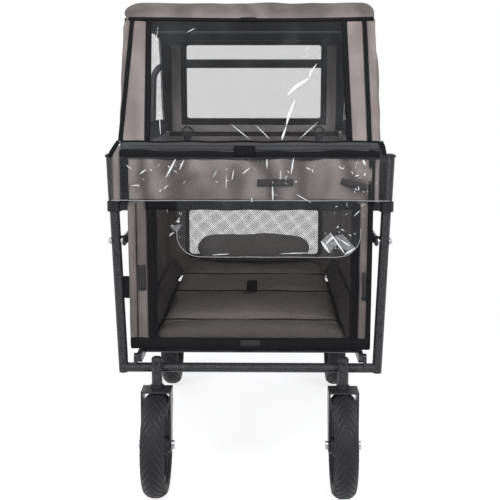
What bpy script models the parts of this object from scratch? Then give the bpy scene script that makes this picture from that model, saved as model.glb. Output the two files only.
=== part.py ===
# Folding pet wagon: metres, +Z up, front of the wagon toward -Y.
# The origin is at the bottom centre of the whole wagon.
import math

import bmesh
import bpy
from mathutils import Matrix, Vector

# Clearances
FIT_GAP = 0.0003
RAIL_GAP = 0.0006
FLAP_GAP = 0.0004
BRAKE_GAP = 0.001
WHEEL_GAP = 0.0055
POST_GAP = 0.006

# Wheels and axles
WHEEL_RADIUS = 0.1075
TYRE_WIDTH = 0.048
TYRE_BORE = 0.080
TREAD_DEPTH = 0.0028
TREAD_SEGMENTS = 24
RIM_HUB_RADIUS = 0.017
RIM_SPOKES = 5
RIM_PHASE = math.radians(4)
AXLE_RADIUS = 0.005
AXLE_HEAD_RADIUS = 0.009
AXLE_HEAD_LENGTH = 0.0055
AXLE_TRAIL = 0.025
FRONT_WHEEL_INSET = 0.0705
REAR_WHEEL_INSET = 0.0345

# Forks and their sockets
FORK_WIDTH = 0.061
FORK_SHEET = 0.0035
FORK_CROWN_LENGTH = 0.046
FORK_LEG_END = 0.014
FORK_HEEL_DROP = 0.030
FORK_EAR_DROP = 0.046
STEM_RADIUS = 0.008
STEM_LENGTH = 0.0455
SOCKET_RADIUS = 0.011
SOCKET_LENGTH = 0.0655
SOCKET_FORWARD = 0.0205
BUTTON_RADIUS = 0.0036
BUTTON_RISE = 0.054
BUTTON_LENGTH = 0.0055
BUTTON_PROUD = 0.0014

# Frame tubes
TUBE_RADIUS = 0.010
SLEEVE_RADIUS = 0.01125
TUBE_SIDES = 14
UPRIGHT_SPREAD = 0.0145
UPRIGHT_DROP = 0.010
FRAME_RISE = 0.0271
SLEEVE_LENGTH = 0.087
FRAME_LENGTH = 0.720
CAP_RADIUS = 0.0135
CAP_HEIGHT = 0.007
COLLAR_RADIUS = 0.0145
COLLAR_HEIGHT = 0.020

# Folding rails
RAIL_RISE = 0.0314
RAIL_HEIGHT = 0.020
RAIL_WIDTH = 0.010
RAIL_INSET = 0.0335
CROSS_TUBE_RADIUS = 0.007
CROSS_TUBE_INSET = 0.060
UPPER_RAIL_RISE = 0.243
UPPER_RAIL_HEIGHT = 0.020
UPPER_RAIL_WIDTH = 0.004
UPPER_RAIL_OUT = 0.0095
PIN_RADIUS = 0.004
BRACKET_SHEET = 0.006
BOARD_THICKNESS = 0.005
BOARD_END_INSET = 0.042
BOARD_MID_INSET = 0.005

# Handle and brake
HANDLE_RADIUS = 0.009
HANDLE_OUT = 0.100
HANDLE_RISE = 0.193
HANDLE_DISC_RADIUS = 0.018
HANDLE_DISC_WIDTH = 0.009
HANDLE_BEND = 0.045
GRIP_RADIUS = 0.012
GRIP_MARGIN = 0.0348
HUB_RADIUS = 0.0135
HUB_HEIGHT = 0.034
BRAKE_BAR_RADIUS = 0.005
BRAKE_ANGLE = math.radians(55.5)
BRAKE_SHOE_LENGTH = 0.0099
PEDAL_WIDTH = 0.070
PEDAL_LENGTH = 0.042
SHOE_HALF_WIDTH = 0.022

# Tub, hood and cloth
TUB_FRONT_HALF = 0.2445
TUB_TAPER = 0.0105
TUB_FLOOR_RISE = 0.021
TUB_HEIGHT = 0.400
WALL_THICKNESS = 0.012
PANEL_THICKNESS = 0.006
DOOR_MARGIN = 0.0375
DOOR_SILL = 0.025
DOOR_HEIGHT = 0.261
DOOR_CORNER = 0.020
NET_BAR = 0.0028
NET_THICKNESS = 0.0012
REAR_WINDOW_MARGIN = 0.054
REAR_WINDOW_SILL = 0.060
REAR_WINDOW_HEIGHT = 0.128
REAR_WINDOW_CORNER = 0.015
MATTRESS_GAP = 0.016
MATTRESS_THICKNESS = 0.0504
MATTRESS_CROWN = 0.010
CHANNEL_DEPTH = 0.009
CHANNEL_WIDTH = 0.022
CHANNELS = (0.080, 0.355, 0.560)
STRAP_WIDTH = 0.025
STRAP_THICKNESS = 0.0015
PILLOW_HALF = 0.154
PILLOW_DEPTH = 0.080
PILLOW_HEIGHT = 0.084
PILLOW_BACK = 0.006
HOOD_OVERHANG = 0.011
HOOD_SHEET = 0.003
HOOD_LAP = 0.014
HOOD_HEM_DROP = 0.005
HOOD_WAIST = 0.027
HOOD_SLOPE_RISE = 0.242
HOOD_SLOPE_BACK = 0.135
HOOD_ROOF_RISE = 0.042
HOOD_CORNER = 0.030
HOOD_CHEEK = 0.0575
HOOD_WINDOW_LAP = 0.008
HOOD_WINDOW_MARGIN = 0.014

# The hood's roof line: how far each point lies in from its end, and under the roof
HOOD_BROW_RUN = 0.028
HOOD_BROW_DROP = 0.020
HOOD_CREST_RUN = 0.075
HOOD_CREST_DROP = 0.006
HOOD_CREST_BACK = 0.020
HOOD_TAIL_RUN = 0.140
HOOD_TAIL_DROP = 0.008
HOOD_EAVE_RUN = 0.035
HOOD_EAVE_DROP = 0.028
HOOD_EDGE_RUN = 0.006
HOOD_EDGE_DROP = 0.050
HOOD_WALL_DROP = 0.075

# The hood's mesh windows
BACK_WINDOW_MARGIN = 0.0705
BACK_WINDOW_SILL = 0.040
BACK_WINDOW_HEIGHT = 0.190
BACK_WINDOW_CORNER = 0.012
SIDE_WINDOW_FRONT = 0.130
SIDE_WINDOW_REAR = 0.110
SIDE_WINDOW_LEAN = 0.085
SIDE_WINDOW_SILL = 0.050
SIDE_WINDOW_HEIGHT = 0.180

# Wire bows of the hood
BOW_RADIUS = 0.0025
BOW_WALL = 0.002
BOW_BEND = 0.045
BOW_DROP = 0.026
BOW_LEAN = 0.030
BOW_SLACK = 0.0025

# Door roll and rain flap
ROLL_INSET = 0.0045
ROLL_DROP = 0.003
ROLL_HEIGHT = 0.083
ROLL_DEPTH = 0.011
FLAP_INSET = 0.001
FLAP_RISE = 0.016
FLAP_BAND_DROP = 0.002
FLAP_TAIL = 0.113
FLAP_LEFT = -0.145
FLAP_RIGHT = 0.219
FLAP_CORNER = 0.045
FLAP_THICKNESS = 0.0012
FLAP_WAVE = 0.0015

# Heights that follow from the sizes above, from the ground up
FORK_TOP_Z = 2 * WHEEL_RADIUS + WHEEL_GAP
STEM_TOP_Z = FORK_TOP_Z + STEM_LENGTH
SOCKET_TOP_Z = FORK_TOP_Z + SOCKET_LENGTH
BUTTON_Z = FORK_TOP_Z + BUTTON_RISE
UPRIGHT_FOOT_Z = FORK_TOP_Z + FRAME_RISE
RAIL_Z = UPRIGHT_FOOT_Z + RAIL_RISE
UPPER_RAIL_Z = RAIL_Z + UPPER_RAIL_RISE
TUB_FLOOR_Z = RAIL_Z + TUB_FLOOR_RISE
TUB_TOP_Z = TUB_FLOOR_Z + TUB_HEIGHT
UPRIGHT_TOP_Z = TUB_TOP_Z - UPRIGHT_DROP
SLEEVE_FOOT_Z = UPRIGHT_TOP_Z - SLEEVE_LENGTH
DOOR_SILL_Z = TUB_FLOOR_Z + DOOR_SILL
DOOR_HEAD_Z = DOOR_SILL_Z + DOOR_HEIGHT
REAR_WINDOW_SILL_Z = TUB_FLOOR_Z + REAR_WINDOW_SILL
REAR_WINDOW_HEAD_Z = REAR_WINDOW_SILL_Z + REAR_WINDOW_HEIGHT
MATTRESS_FOOT_Z = RAIL_Z + RAIL_HEIGHT / 2 + BOARD_THICKNESS + FIT_GAP * 2
MATTRESS_TOP_Z = MATTRESS_FOOT_Z + MATTRESS_THICKNESS
HOOD_HEM_Z = TUB_TOP_Z - HOOD_HEM_DROP
HOOD_WAIST_Z = HOOD_HEM_Z + HOOD_WAIST
HOOD_FRONT_TOP_Z = HOOD_WAIST_Z + HOOD_SLOPE_RISE
HOOD_ROOF_Z = HOOD_FRONT_TOP_Z + HOOD_ROOF_RISE
ROLL_TOP_Z = HOOD_HEM_Z - ROLL_DROP
ROLL_FOOT_Z = ROLL_TOP_Z - ROLL_HEIGHT
FLAP_TOP_Z = TUB_TOP_Z + FLAP_RISE
FLAP_BAND_Z = ROLL_FOOT_Z - FLAP_BAND_DROP
FLAP_FOOT_Z = FLAP_BAND_Z - FLAP_TAIL
HANDLE_TOP_Z = UPRIGHT_TOP_Z + HANDLE_RISE

# Widths, each from the middle of the wagon
UPRIGHT_FOOT_X = TUB_FRONT_HALF + POST_GAP + TUBE_RADIUS
UPRIGHT_TOP_X = UPRIGHT_FOOT_X + UPRIGHT_SPREAD
FRONT_WHEEL_X = UPRIGHT_FOOT_X - FRONT_WHEEL_INSET
REAR_WHEEL_X = UPRIGHT_FOOT_X - REAR_WHEEL_INSET
FRONT_RAIL_X = UPRIGHT_FOOT_X - RAIL_INSET
UPPER_FRONT_RAIL_X = TUB_FRONT_HALF + UPPER_RAIL_OUT
TUB_REAR_HALF = TUB_FRONT_HALF - TUB_TAPER
DOOR_HALF_WIDTH = TUB_FRONT_HALF - DOOR_MARGIN
REAR_WINDOW_HALF = TUB_REAR_HALF - REAR_WINDOW_MARGIN
MATTRESS_HALF = TUB_REAR_HALF - WALL_THICKNESS - MATTRESS_GAP
HOOD_HALF = TUB_FRONT_HALF + HOOD_OVERHANG
HOOD_WINDOW_HALF = HOOD_HALF - HOOD_CHEEK
BACK_WINDOW_HALF = HOOD_HALF - BACK_WINDOW_MARGIN
ROLL_HALF = TUB_FRONT_HALF - ROLL_INSET
FLAP_HALF = UPRIGHT_TOP_X - FLAP_INSET

# Places that follow from the sizes above
HANDLE_REACH = FRAME_LENGTH + HANDLE_OUT
FRONT_REACH = SOCKET_FORWARD + AXLE_TRAIL + WHEEL_RADIUS
REAR_REACH = HANDLE_REACH + GRIP_RADIUS
FRONT_Y = (FRONT_REACH - REAR_REACH) / 2
REAR_Y = FRONT_Y + FRAME_LENGTH
MIDDLE_Y = FRONT_Y + FRAME_LENGTH / 2
REAR_RAIL_X = FRONT_RAIL_X - RAIL_WIDTH - RAIL_GAP
UPPER_REAR_RAIL_X = UPPER_FRONT_RAIL_X - UPPER_RAIL_WIDTH - RAIL_GAP
CROSSBAR_Z = UPRIGHT_FOOT_Z + TUBE_RADIUS
STEM_Y = FRONT_Y - SOCKET_FORWARD
FRONT_AXLE_Y = STEM_Y - AXLE_TRAIL
REAR_AXLE_Y = REAR_Y - AXLE_TRAIL
BORE = PIN_RADIUS + FIT_GAP
TREAD_FACET = math.cos(math.pi / TREAD_SEGMENTS)
TREAD_REACH = WHEEL_RADIUS / TREAD_FACET
PANEL_FRONT_Y = FRONT_Y - TUBE_RADIUS
PANEL_BACK_Y = PANEL_FRONT_Y + PANEL_THICKNESS
REAR_PANEL_Y = REAR_Y + TUBE_RADIUS - PANEL_THICKNESS
HUB_FOOT_Z = UPRIGHT_TOP_Z - HUB_HEIGHT
HANDLE_PIVOT_Y = REAR_Y + HUB_RADIUS + HANDLE_DISC_RADIUS + 0.002
HANDLE_PIVOT_Z = UPRIGHT_TOP_Z - HUB_HEIGHT / 2
HUB_DISC_FACE = UPRIGHT_TOP_X - HANDLE_RADIUS / 2
HANDLE_SIDE_X = HUB_DISC_FACE + FIT_GAP + HANDLE_RADIUS
GRIP_HALF = HANDLE_SIDE_X - HANDLE_BEND - GRIP_MARGIN
BRAKE_REACH = TREAD_REACH + BRAKE_SHOE_LENGTH
BRAKE_Y = REAR_AXLE_Y + BRAKE_REACH * math.cos(BRAKE_ANGLE)
BRAKE_Z = WHEEL_RADIUS + BRAKE_REACH * math.sin(BRAKE_ANGLE)
BOW_ARM_END = TUB_FRONT_HALF + FIT_GAP * 1.5
BOW_X = BOW_ARM_END + BOW_WALL + FIT_GAP + BOW_RADIUS
SIDES = (("left", -1), ("right", 1))


def upright_x(z):
    lean = (UPRIGHT_TOP_X - UPRIGHT_FOOT_X) / (UPRIGHT_TOP_Z - UPRIGHT_FOOT_Z)
    return UPRIGHT_FOOT_X + (z - UPRIGHT_FOOT_Z) * lean


def material(name, color, roughness, metallic=0.0, alpha=1.0):
    made = bpy.data.materials.new(name)
    made.use_nodes = True
    shader = made.node_tree.nodes["Principled BSDF"]
    shader.inputs["Base Color"].default_value = (*color, 1.0)
    shader.inputs["Roughness"].default_value = roughness
    shader.inputs["Metallic"].default_value = metallic
    shader.inputs["Alpha"].default_value = alpha
    return made


def place(name, bm, mat, smooth=True):
    bmesh.ops.remove_doubles(bm, verts=bm.verts, dist=0.00002)
    bmesh.ops.recalc_face_normals(bm, faces=bm.faces)
    mesh = bpy.data.meshes.new(name)
    bm.to_mesh(mesh)
    bm.free()
    if smooth:
        mesh.shade_smooth()
        mesh.set_sharp_from_angle(angle=math.radians(35))
    obj = bpy.data.objects.new(name, mesh)
    bpy.context.scene.collection.objects.link(obj)
    if mat:
        mesh.materials.append(mat)
    return obj


def hide(obj):
    obj.hide_render = True
    obj.display_type = "WIRE"
    return obj


def combine(obj, tool, operation):
    hide(tool)
    step = obj.modifiers.new(tool.name, "BOOLEAN")
    step.solver = "EXACT"
    step.operation = operation
    step.object = tool
    return obj


def cut(obj, tool):
    return combine(obj, tool, "DIFFERENCE")


def join(obj, tool):
    return combine(obj, tool, "UNION")


# A closed ring profile of (along, radius) points turned about an axis
def turned(name, profile, centre, axis, segments, mat=None, phase=0.0):
    bm = bmesh.new()
    turn = Vector((0, 0, 1)).rotation_difference(Vector(axis)).to_matrix()
    rings = []
    for step in range(segments):
        angle = phase + 2 * math.pi * step / segments
        ring = []
        for along, radius in profile:
            point = Vector((radius * math.cos(angle), radius * math.sin(angle), along))
            ring.append(bm.verts.new(Vector(centre) + turn @ point))
        rings.append(ring)
    count = len(profile)
    for step in range(segments):
        here = rings[step]
        there = rings[(step + 1) % segments]
        for k in range(count):
            after = (k + 1) % count
            bm.faces.new((here[k], there[k], there[after], here[after]))
    bmesh.ops.remove_doubles(bm, verts=bm.verts, dist=0.00002)
    bmesh.ops.dissolve_degenerate(bm, edges=bm.edges, dist=0.00002)
    return place(name, bm, mat)


# A solid rod made of stacked cylinders: (along, radius) steps between two ends
def stepped_rod(name, steps, centre, axis, segments, mat=None):
    profile = [(steps[0][0], 0.0)]
    for along, radius in steps:
        profile.append((along, radius))
    profile.append((steps[-1][0], 0.0))
    return turned(name, profile, centre, axis, segments, mat)


def rod(name, start, end, radius, segments=14, mat=None):
    start = Vector(start)
    span = Vector(end) - start
    return stepped_rod(name, [(0, radius), (span.length, radius)], start, span, segments, mat)


def box(name, low, high, mat=None):
    bm = bmesh.new()
    size = Vector(high) - Vector(low)
    middle = (Vector(high) + Vector(low)) / 2
    shape = Matrix.Translation(middle) @ Matrix.Diagonal((*size, 1.0))
    bmesh.ops.create_cube(bm, size=1.0, matrix=shape)
    return place(name, bm, mat, smooth=False)


# A flat outline of (y, z) points made solid between two x values
def side_prism(name, outline, low_x, high_x, mat=None, smooth=True):
    bm = bmesh.new()
    near = [bm.verts.new((low_x, y, z)) for y, z in outline]
    far = [bm.verts.new((high_x, y, z)) for y, z in outline]
    count = len(outline)
    bm.faces.new(near)
    bm.faces.new(list(reversed(far)))
    for k in range(count):
        after = (k + 1) % count
        bm.faces.new((near[k], near[after], far[after], far[k]))
    return place(name, bm, mat, smooth)


# A flat outline of (x, z) points made solid between two y values
def front_prism(name, outline, low_y, high_y, mat=None):
    bm = bmesh.new()
    near = [bm.verts.new((x, low_y, z)) for x, z in outline]
    far = [bm.verts.new((x, high_y, z)) for x, z in outline]
    count = len(outline)
    bm.faces.new(near)
    bm.faces.new(list(reversed(far)))
    for k in range(count):
        after = (k + 1) % count
        bm.faces.new((near[k], near[after], far[after], far[k]))
    return place(name, bm, mat, smooth=False)


def arc(centre, radius, first, last, steps):
    points = []
    for step in range(steps + 1):
        angle = math.radians(first + (last - first) * step / steps)
        points.append((centre[0] + radius * math.cos(angle), centre[1] + radius * math.sin(angle)))
    return points


def rounded_rectangle(left, foot, right, head, radius, steps=3):
    outline = arc((right - radius, foot + radius), radius, -90, 0, steps)
    outline += arc((right - radius, head - radius), radius, 0, 90, steps)
    outline += arc((left + radius, head - radius), radius, 90, 180, steps)
    outline += arc((left + radius, foot + radius), radius, 180, 270, steps)
    return outline


# A tube swept along a route that lies in one plane or bends gently out of it
def bent_tube(name, points, radius, sides, mat):
    points = [Vector(point) for point in points]
    bm = bmesh.new()
    rings = []
    normal = None
    for k, point in enumerate(points):
        before = points[max(0, k - 1)]
        after = points[min(len(points) - 1, k + 1)]
        along = (after - before).normalized()
        if normal is None:
            normal = along.orthogonal().normalized()
        normal = (normal - along * normal.dot(along)).normalized()
        across = along.cross(normal)
        ring = []
        for step in range(sides):
            angle = 2 * math.pi * step / sides
            ring.append(bm.verts.new(point + (normal * math.cos(angle) + across * math.sin(angle)) * radius))
        rings.append(ring)
    for here, there in zip(rings, rings[1:]):
        for step in range(sides):
            after = (step + 1) % sides
            bm.faces.new((here[step], there[step], there[after], here[after]))
    bm.faces.new(rings[0])
    bm.faces.new(rings[-1])
    return place(name, bm, mat)


# The corners of a route become arcs that touch both of its straights
def rounded_route(corners, radius, steps=4):
    route = [Vector(corners[0])]
    for before, corner, after in zip(corners, corners[1:], corners[2:]):
        corner = Vector(corner)
        into = (Vector(before) - corner).normalized()
        out = (Vector(after) - corner).normalized()
        half = into.angle(out) / 2
        back = radius / math.tan(half)
        centre = corner + (into + out).normalized() * radius / math.sin(half)
        first = corner + into * back - centre
        last = corner + out * back - centre
        for step in range(steps + 1):
            share = step / steps
            spoke = first.slerp(last, share, first)
            route.append(centre + spoke.normalized() * radius)
    route.append(Vector(corners[-1]))
    return route


def clear_scene():
    for obj in list(bpy.data.objects):
        bpy.data.objects.remove(obj, do_unlink=True)


# Wheels


def tyre(name, x, y, mat):
    half = TYRE_WIDTH / 2
    bead = half * 0.70
    crown = half * 0.46
    shoulder = half * 0.86
    rise = WHEEL_RADIUS - TYRE_BORE
    # Facets are pushed out so that their flats reach the tread and clear the rim
    bore = (TYRE_BORE + FIT_GAP) / TREAD_FACET
    tread = TREAD_REACH
    profile = [
        (-bead, bore),
        (-half, bore + rise * 0.45),
        (-shoulder, tread - rise * 0.12),
        (-crown, tread),
        (crown, tread),
        (shoulder, tread - rise * 0.12),
        (half, bore + rise * 0.45),
        (bead, bore),
    ]
    bm = bmesh.new()
    pitch = 2 * math.pi / TREAD_SEGMENTS
    rings = []
    for step in range(TREAD_SEGMENTS):
        ring = []
        for along, radius in profile:
            skew = max(0.0, abs(along) - crown) / half * pitch * 0.9
            angle = -math.pi / 2 + pitch * (step - 0.5) + skew
            spot = (x + along, y + radius * math.cos(angle), WHEEL_RADIUS + radius * math.sin(angle))
            ring.append(bm.verts.new(spot))
        rings.append(ring)
    lugs = []
    count = len(profile)
    for step in range(TREAD_SEGMENTS):
        here = rings[step]
        there = rings[(step + 1) % TREAD_SEGMENTS]
        for k in range(count):
            after = (k + 1) % count
            face = bm.faces.new((here[k], there[k], there[after], here[after]))
            on_shoulder = k in (2, 4) and step % 2 == 0
            on_crown = k == 3 and step % 2 == 1
            if on_shoulder or on_crown:
                lugs.append(face)
    bmesh.ops.recalc_face_normals(bm, faces=bm.faces)
    bm.normal_update()
    width = TREAD_DEPTH * 0.8
    bmesh.ops.inset_individual(bm, faces=lugs, thickness=width, depth=-TREAD_DEPTH)
    return place(name, bm, mat)


# Five-spoke rim with a hub long enough to fill the fork
def rim(name, x, y, mat):
    hub_half = FORK_WIDTH / 2 - FORK_SHEET - RAIL_GAP
    bead_half = TYRE_WIDTH * 0.35
    web_half = 0.005
    bore = AXLE_RADIUS + FIT_GAP
    flange = TYRE_BORE - 0.010
    profile = [
        (-hub_half, bore),
        (-hub_half, RIM_HUB_RADIUS),
        (-web_half, RIM_HUB_RADIUS + 0.003),
        (-web_half, flange - 0.003),
        (-bead_half, flange),
        (-bead_half, TYRE_BORE),
        (bead_half, TYRE_BORE),
        (bead_half, flange),
        (web_half, flange - 0.003),
        (web_half, RIM_HUB_RADIUS + 0.003),
        (hub_half, RIM_HUB_RADIUS),
        (hub_half, bore),
    ]
    wheel = turned(name, profile, (x, y, WHEEL_RADIUS), (1, 0, 0), 16, mat, phase=RIM_PHASE)
    low = RIM_HUB_RADIUS + 0.006
    high = flange - 0.006
    for spoke in range(RIM_SPOKES):
        middle = 360 * spoke / RIM_SPOKES + 90
        outline = arc((y, WHEEL_RADIUS), low, middle - 16, middle + 16, 1)
        outline += arc((y, WHEEL_RADIUS), high, middle + 26, middle - 26, 2)
        window = side_prism(f"cut_{name}_{spoke}", outline, x - 0.02, x + 0.02)
        cut(wheel, window)
    return wheel


def axle(name, x, y, mat):
    half = FORK_WIDTH / 2
    face = half + FIT_GAP
    end = face + AXLE_HEAD_LENGTH
    steps = [
        (-end, AXLE_HEAD_RADIUS),
        (-face, AXLE_HEAD_RADIUS),
        (-face, AXLE_RADIUS),
        (face, AXLE_RADIUS),
        (face, AXLE_HEAD_RADIUS),
        (end, AXLE_HEAD_RADIUS),
    ]
    return stepped_rod(name, steps, (x, y, WHEEL_RADIUS), (1, 0, 0), 12, mat)


def make_wheel(place_name, side, x, y, mats):
    tyre(f"{place_name}_tyre_{side}", x, y, mats["rubber"])
    rim(f"{place_name}_rim_{side}", x, y, mats["rim"])
    axle(f"{place_name}_axle_{side}", x, y, mats["steel"])


# Forks


# One bent sheet: a crown on top and a tapering leg on each side of the wheel
def fork(name, x, stem_y, stem_top, ear, mats):
    axle_y = stem_y - AXLE_TRAIL
    half = FORK_WIDTH / 2
    back = stem_y + FORK_CROWN_LENGTH * 0.36
    front = back - FORK_CROWN_LENGTH
    outline = [(back, FORK_TOP_Z), (front, FORK_TOP_Z)]
    outline += arc((axle_y, WHEEL_RADIUS), FORK_LEG_END, 170, 350, 8)
    if ear:
        seat = (BRAKE_Y, BRAKE_Z)
        outline += [(back, FORK_TOP_Z - FORK_EAR_DROP)]
        outline += arc(seat, FORK_LEG_END * 0.65, -70, 110, 6)
    else:
        outline += [(back, FORK_TOP_Z - FORK_HEEL_DROP)]
    body = side_prism(name, outline, x - half, x + half, mats["tube"], smooth=False)
    hollow_low = (x - half + FORK_SHEET, axle_y - WHEEL_RADIUS, 0)
    hollow_high = (x + half - FORK_SHEET, axle_y + 2 * WHEEL_RADIUS, FORK_TOP_Z - FORK_SHEET)
    hollow = box(f"cut_{name}_channel", hollow_low, hollow_high)
    cut(body, hollow)
    reach = half + 0.01
    hole = AXLE_RADIUS + FIT_GAP
    low = (x - reach, axle_y, WHEEL_RADIUS)
    high = (x + reach, axle_y, WHEEL_RADIUS)
    cut(body, rod(f"cut_{name}_axle", low, high, hole, 12))
    if ear:
        size = BRAKE_BAR_RADIUS + FIT_GAP
        low = (x - reach, BRAKE_Y, BRAKE_Z)
        high = (x + reach, BRAKE_Y, BRAKE_Z)
        cut(body, rod(f"cut_{name}_brake", low, high, size, 12))
    foot = (x, stem_y, FORK_TOP_Z - FORK_SHEET / 2)
    join(body, rod(f"add_{name}_stem", foot, (x, stem_y, stem_top), STEM_RADIUS))
    return body


# Frame weldments


def upright(name, y, sign, mat):
    foot = (sign * upright_x(UPRIGHT_FOOT_Z), y, UPRIGHT_FOOT_Z)
    head = (sign * upright_x(UPRIGHT_TOP_Z), y, UPRIGHT_TOP_Z)
    span = Vector(head) - Vector(foot)
    step = span.length * (SLEEVE_FOOT_Z - UPRIGHT_FOOT_Z) / (UPRIGHT_TOP_Z - UPRIGHT_FOOT_Z)
    steps = [
        (0, TUBE_RADIUS - 0.001),
        (0.001, TUBE_RADIUS),
        (step, TUBE_RADIUS),
        (step, SLEEVE_RADIUS),
        (span.length, SLEEVE_RADIUS),
    ]
    post = stepped_rod(name, steps, foot, span, TUBE_SIDES, mat)
    x = sign * upright_x(UPPER_RAIL_Z)
    reach = SLEEVE_RADIUS * 2
    low = (x - reach, y, UPPER_RAIL_Z)
    high = (x + reach, y, UPPER_RAIL_Z)
    cut(post, rod(f"cut_{name}_bolt", low, high, BORE, 12))
    return post


# Crossbar with its coped ends, pivot brackets and fork sockets in one weldment
def crossbar(name, y, rail_x, mats):
    reach = upright_x(CROSSBAR_Z)
    bar = rod(name, (-reach, y, CROSSBAR_Z), (reach, y, CROSSBAR_Z), TUBE_RADIUS, TUBE_SIDES, mats["tube"])
    for side, sign in SIDES:
        add_pivot_bracket(bar, name, side, sign, y, rail_x)
    for side, sign in SIDES:
        foot = Vector((sign * upright_x(UPRIGHT_FOOT_Z), y, UPRIGHT_FOOT_Z))
        head = Vector((sign * upright_x(UPRIGHT_TOP_Z), y, UPRIGHT_TOP_Z))
        along = (head - foot).normalized()
        low = foot - along * TUBE_RADIUS * 3
        high = foot + along * TUBE_RADIUS * 6
        cut(bar, rod(f"cut_{name}_cope_{side}", low, high, TUBE_RADIUS + FIT_GAP, TUBE_SIDES))
    return bar


def add_pivot_bracket(bar, name, side, sign, y, rail_x):
    inner = sign * (rail_x + RAIL_WIDTH / 2 + RAIL_GAP)
    outer = inner + sign * BRACKET_SHEET
    size = RAIL_HEIGHT * 0.45
    outline = [(y - size, CROSSBAR_Z), (y + size, CROSSBAR_Z)]
    outline += arc((y, RAIL_Z), size, 0, 180, 8)
    plate = side_prism(f"add_{name}_bracket_{side}", outline, min(inner, outer), max(inner, outer))
    join(bar, plate)
    tip = sign * (rail_x - RAIL_WIDTH / 2)
    pin = rod(f"add_{name}_pin_{side}", (tip, y, RAIL_Z), (outer - sign * 0.002, y, RAIL_Z), PIN_RADIUS, 12)
    join(bar, pin)


def add_front_sockets(bar):
    for side, sign in SIDES:
        x = sign * FRONT_WHEEL_X
        foot = FORK_TOP_Z + FIT_GAP * 2
        steps = [
            (0, SOCKET_RADIUS + 0.003),
            (0.006, SOCKET_RADIUS + 0.003),
            (0.007, SOCKET_RADIUS),
            (SOCKET_TOP_Z - foot - 0.003, SOCKET_RADIUS),
            (SOCKET_TOP_Z - foot, SOCKET_RADIUS - 0.003),
        ]
        socket = stepped_rod(f"add_front_socket_{side}", steps, (x, STEM_Y, foot), (0, 0, 1), TUBE_SIDES)
        join(bar, socket)
        low = (x - 0.006, STEM_Y + SOCKET_RADIUS * 0.8, CROSSBAR_Z - 0.008)
        high = (x + 0.006, FRONT_Y, CROSSBAR_Z + 0.008)
        join(bar, box(f"add_front_weld_{side}", low, high))
        low = (x, STEM_Y, foot - 0.01)
        high = (x, STEM_Y, SOCKET_TOP_Z - 0.004)
        cut(bar, rod(f"cut_front_socket_{side}", low, high, STEM_RADIUS + FIT_GAP))
        hole_end = (x, STEM_Y - SOCKET_RADIUS * 2, BUTTON_Z)
        hole = rod(f"cut_front_button_{side}", (x, STEM_Y, BUTTON_Z), hole_end, BUTTON_RADIUS + FIT_GAP, 12)
        cut(bar, hole)


def add_rear_sockets(bar):
    for side, sign in SIDES:
        x = sign * REAR_WHEEL_X
        foot = FORK_TOP_Z + FIT_GAP
        socket = rod(f"add_rear_socket_{side}", (x, REAR_Y, foot), (x, REAR_Y, CROSSBAR_Z), SOCKET_RADIUS)
        join(bar, socket)
        low = (x, REAR_Y, foot - 0.01)
        high = (x, REAR_Y, UPRIGHT_FOOT_Z - 0.002)
        cut(bar, rod(f"cut_rear_socket_{side}", low, high, STEM_RADIUS + FIT_GAP))


def release_button(name, x, mat):
    front = STEM_Y - SOCKET_RADIUS - BUTTON_PROUD
    steps = [(0, BUTTON_RADIUS - 0.001), (0.001, BUTTON_RADIUS), (BUTTON_LENGTH, BUTTON_RADIUS)]
    return stepped_rod(name, steps, (x, front, BUTTON_Z), (0, 1, 0), 12, mat)


def cap(name, sign, mat):
    steps = [
        (0, CAP_RADIUS),
        (CAP_HEIGHT * 0.4, CAP_RADIUS),
        (CAP_HEIGHT * 0.8, CAP_RADIUS * 0.8),
        (CAP_HEIGHT, CAP_RADIUS * 0.45),
    ]
    foot = (sign * upright_x(UPRIGHT_TOP_Z + FIT_GAP), FRONT_Y, UPRIGHT_TOP_Z + FIT_GAP * 2)
    return stepped_rod(name, steps, foot, (0, 0, 1), 16, mat)


# A moulded ring on the tube with an arm that holds the bow's foot
def collar(name, sign, mat):
    top = SLEEVE_FOOT_Z - FIT_GAP * 2
    foot = top - COLLAR_HEIGHT
    x = sign * upright_x((top + foot) / 2)
    body = rod(name, (x, FRONT_Y, foot), (x, FRONT_Y, top), COLLAR_RADIUS, TUBE_SIDES, mat)
    arm_end = sign * BOW_ARM_END
    low = (min(x, arm_end), FRONT_Y - 0.007, foot + 0.002)
    high = (max(x, arm_end), FRONT_Y + 0.007, top - 0.002)
    # The arm stays outside the tub wall
    arm = box(f"add_{name}_arm", low, high)
    join(body, arm)
    cut_collar_bores(body, name, sign, foot, top)
    return body


def cut_collar_bores(body, name, sign, foot, top):
    low = (sign * upright_x(foot - 0.01), FRONT_Y, foot - 0.01)
    high = (sign * upright_x(top + 0.01), FRONT_Y, top + 0.01)
    cut(body, rod(f"cut_{name}_tube", low, high, TUBE_RADIUS + FIT_GAP, TUBE_SIDES))
    low = (sign * BOW_X, FRONT_Y, foot + 0.005)
    high = (sign * BOW_X, FRONT_Y, top + 0.01)
    cut(body, rod(f"cut_{name}_bow", low, high, BOW_RADIUS + FIT_GAP, 12))


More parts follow.
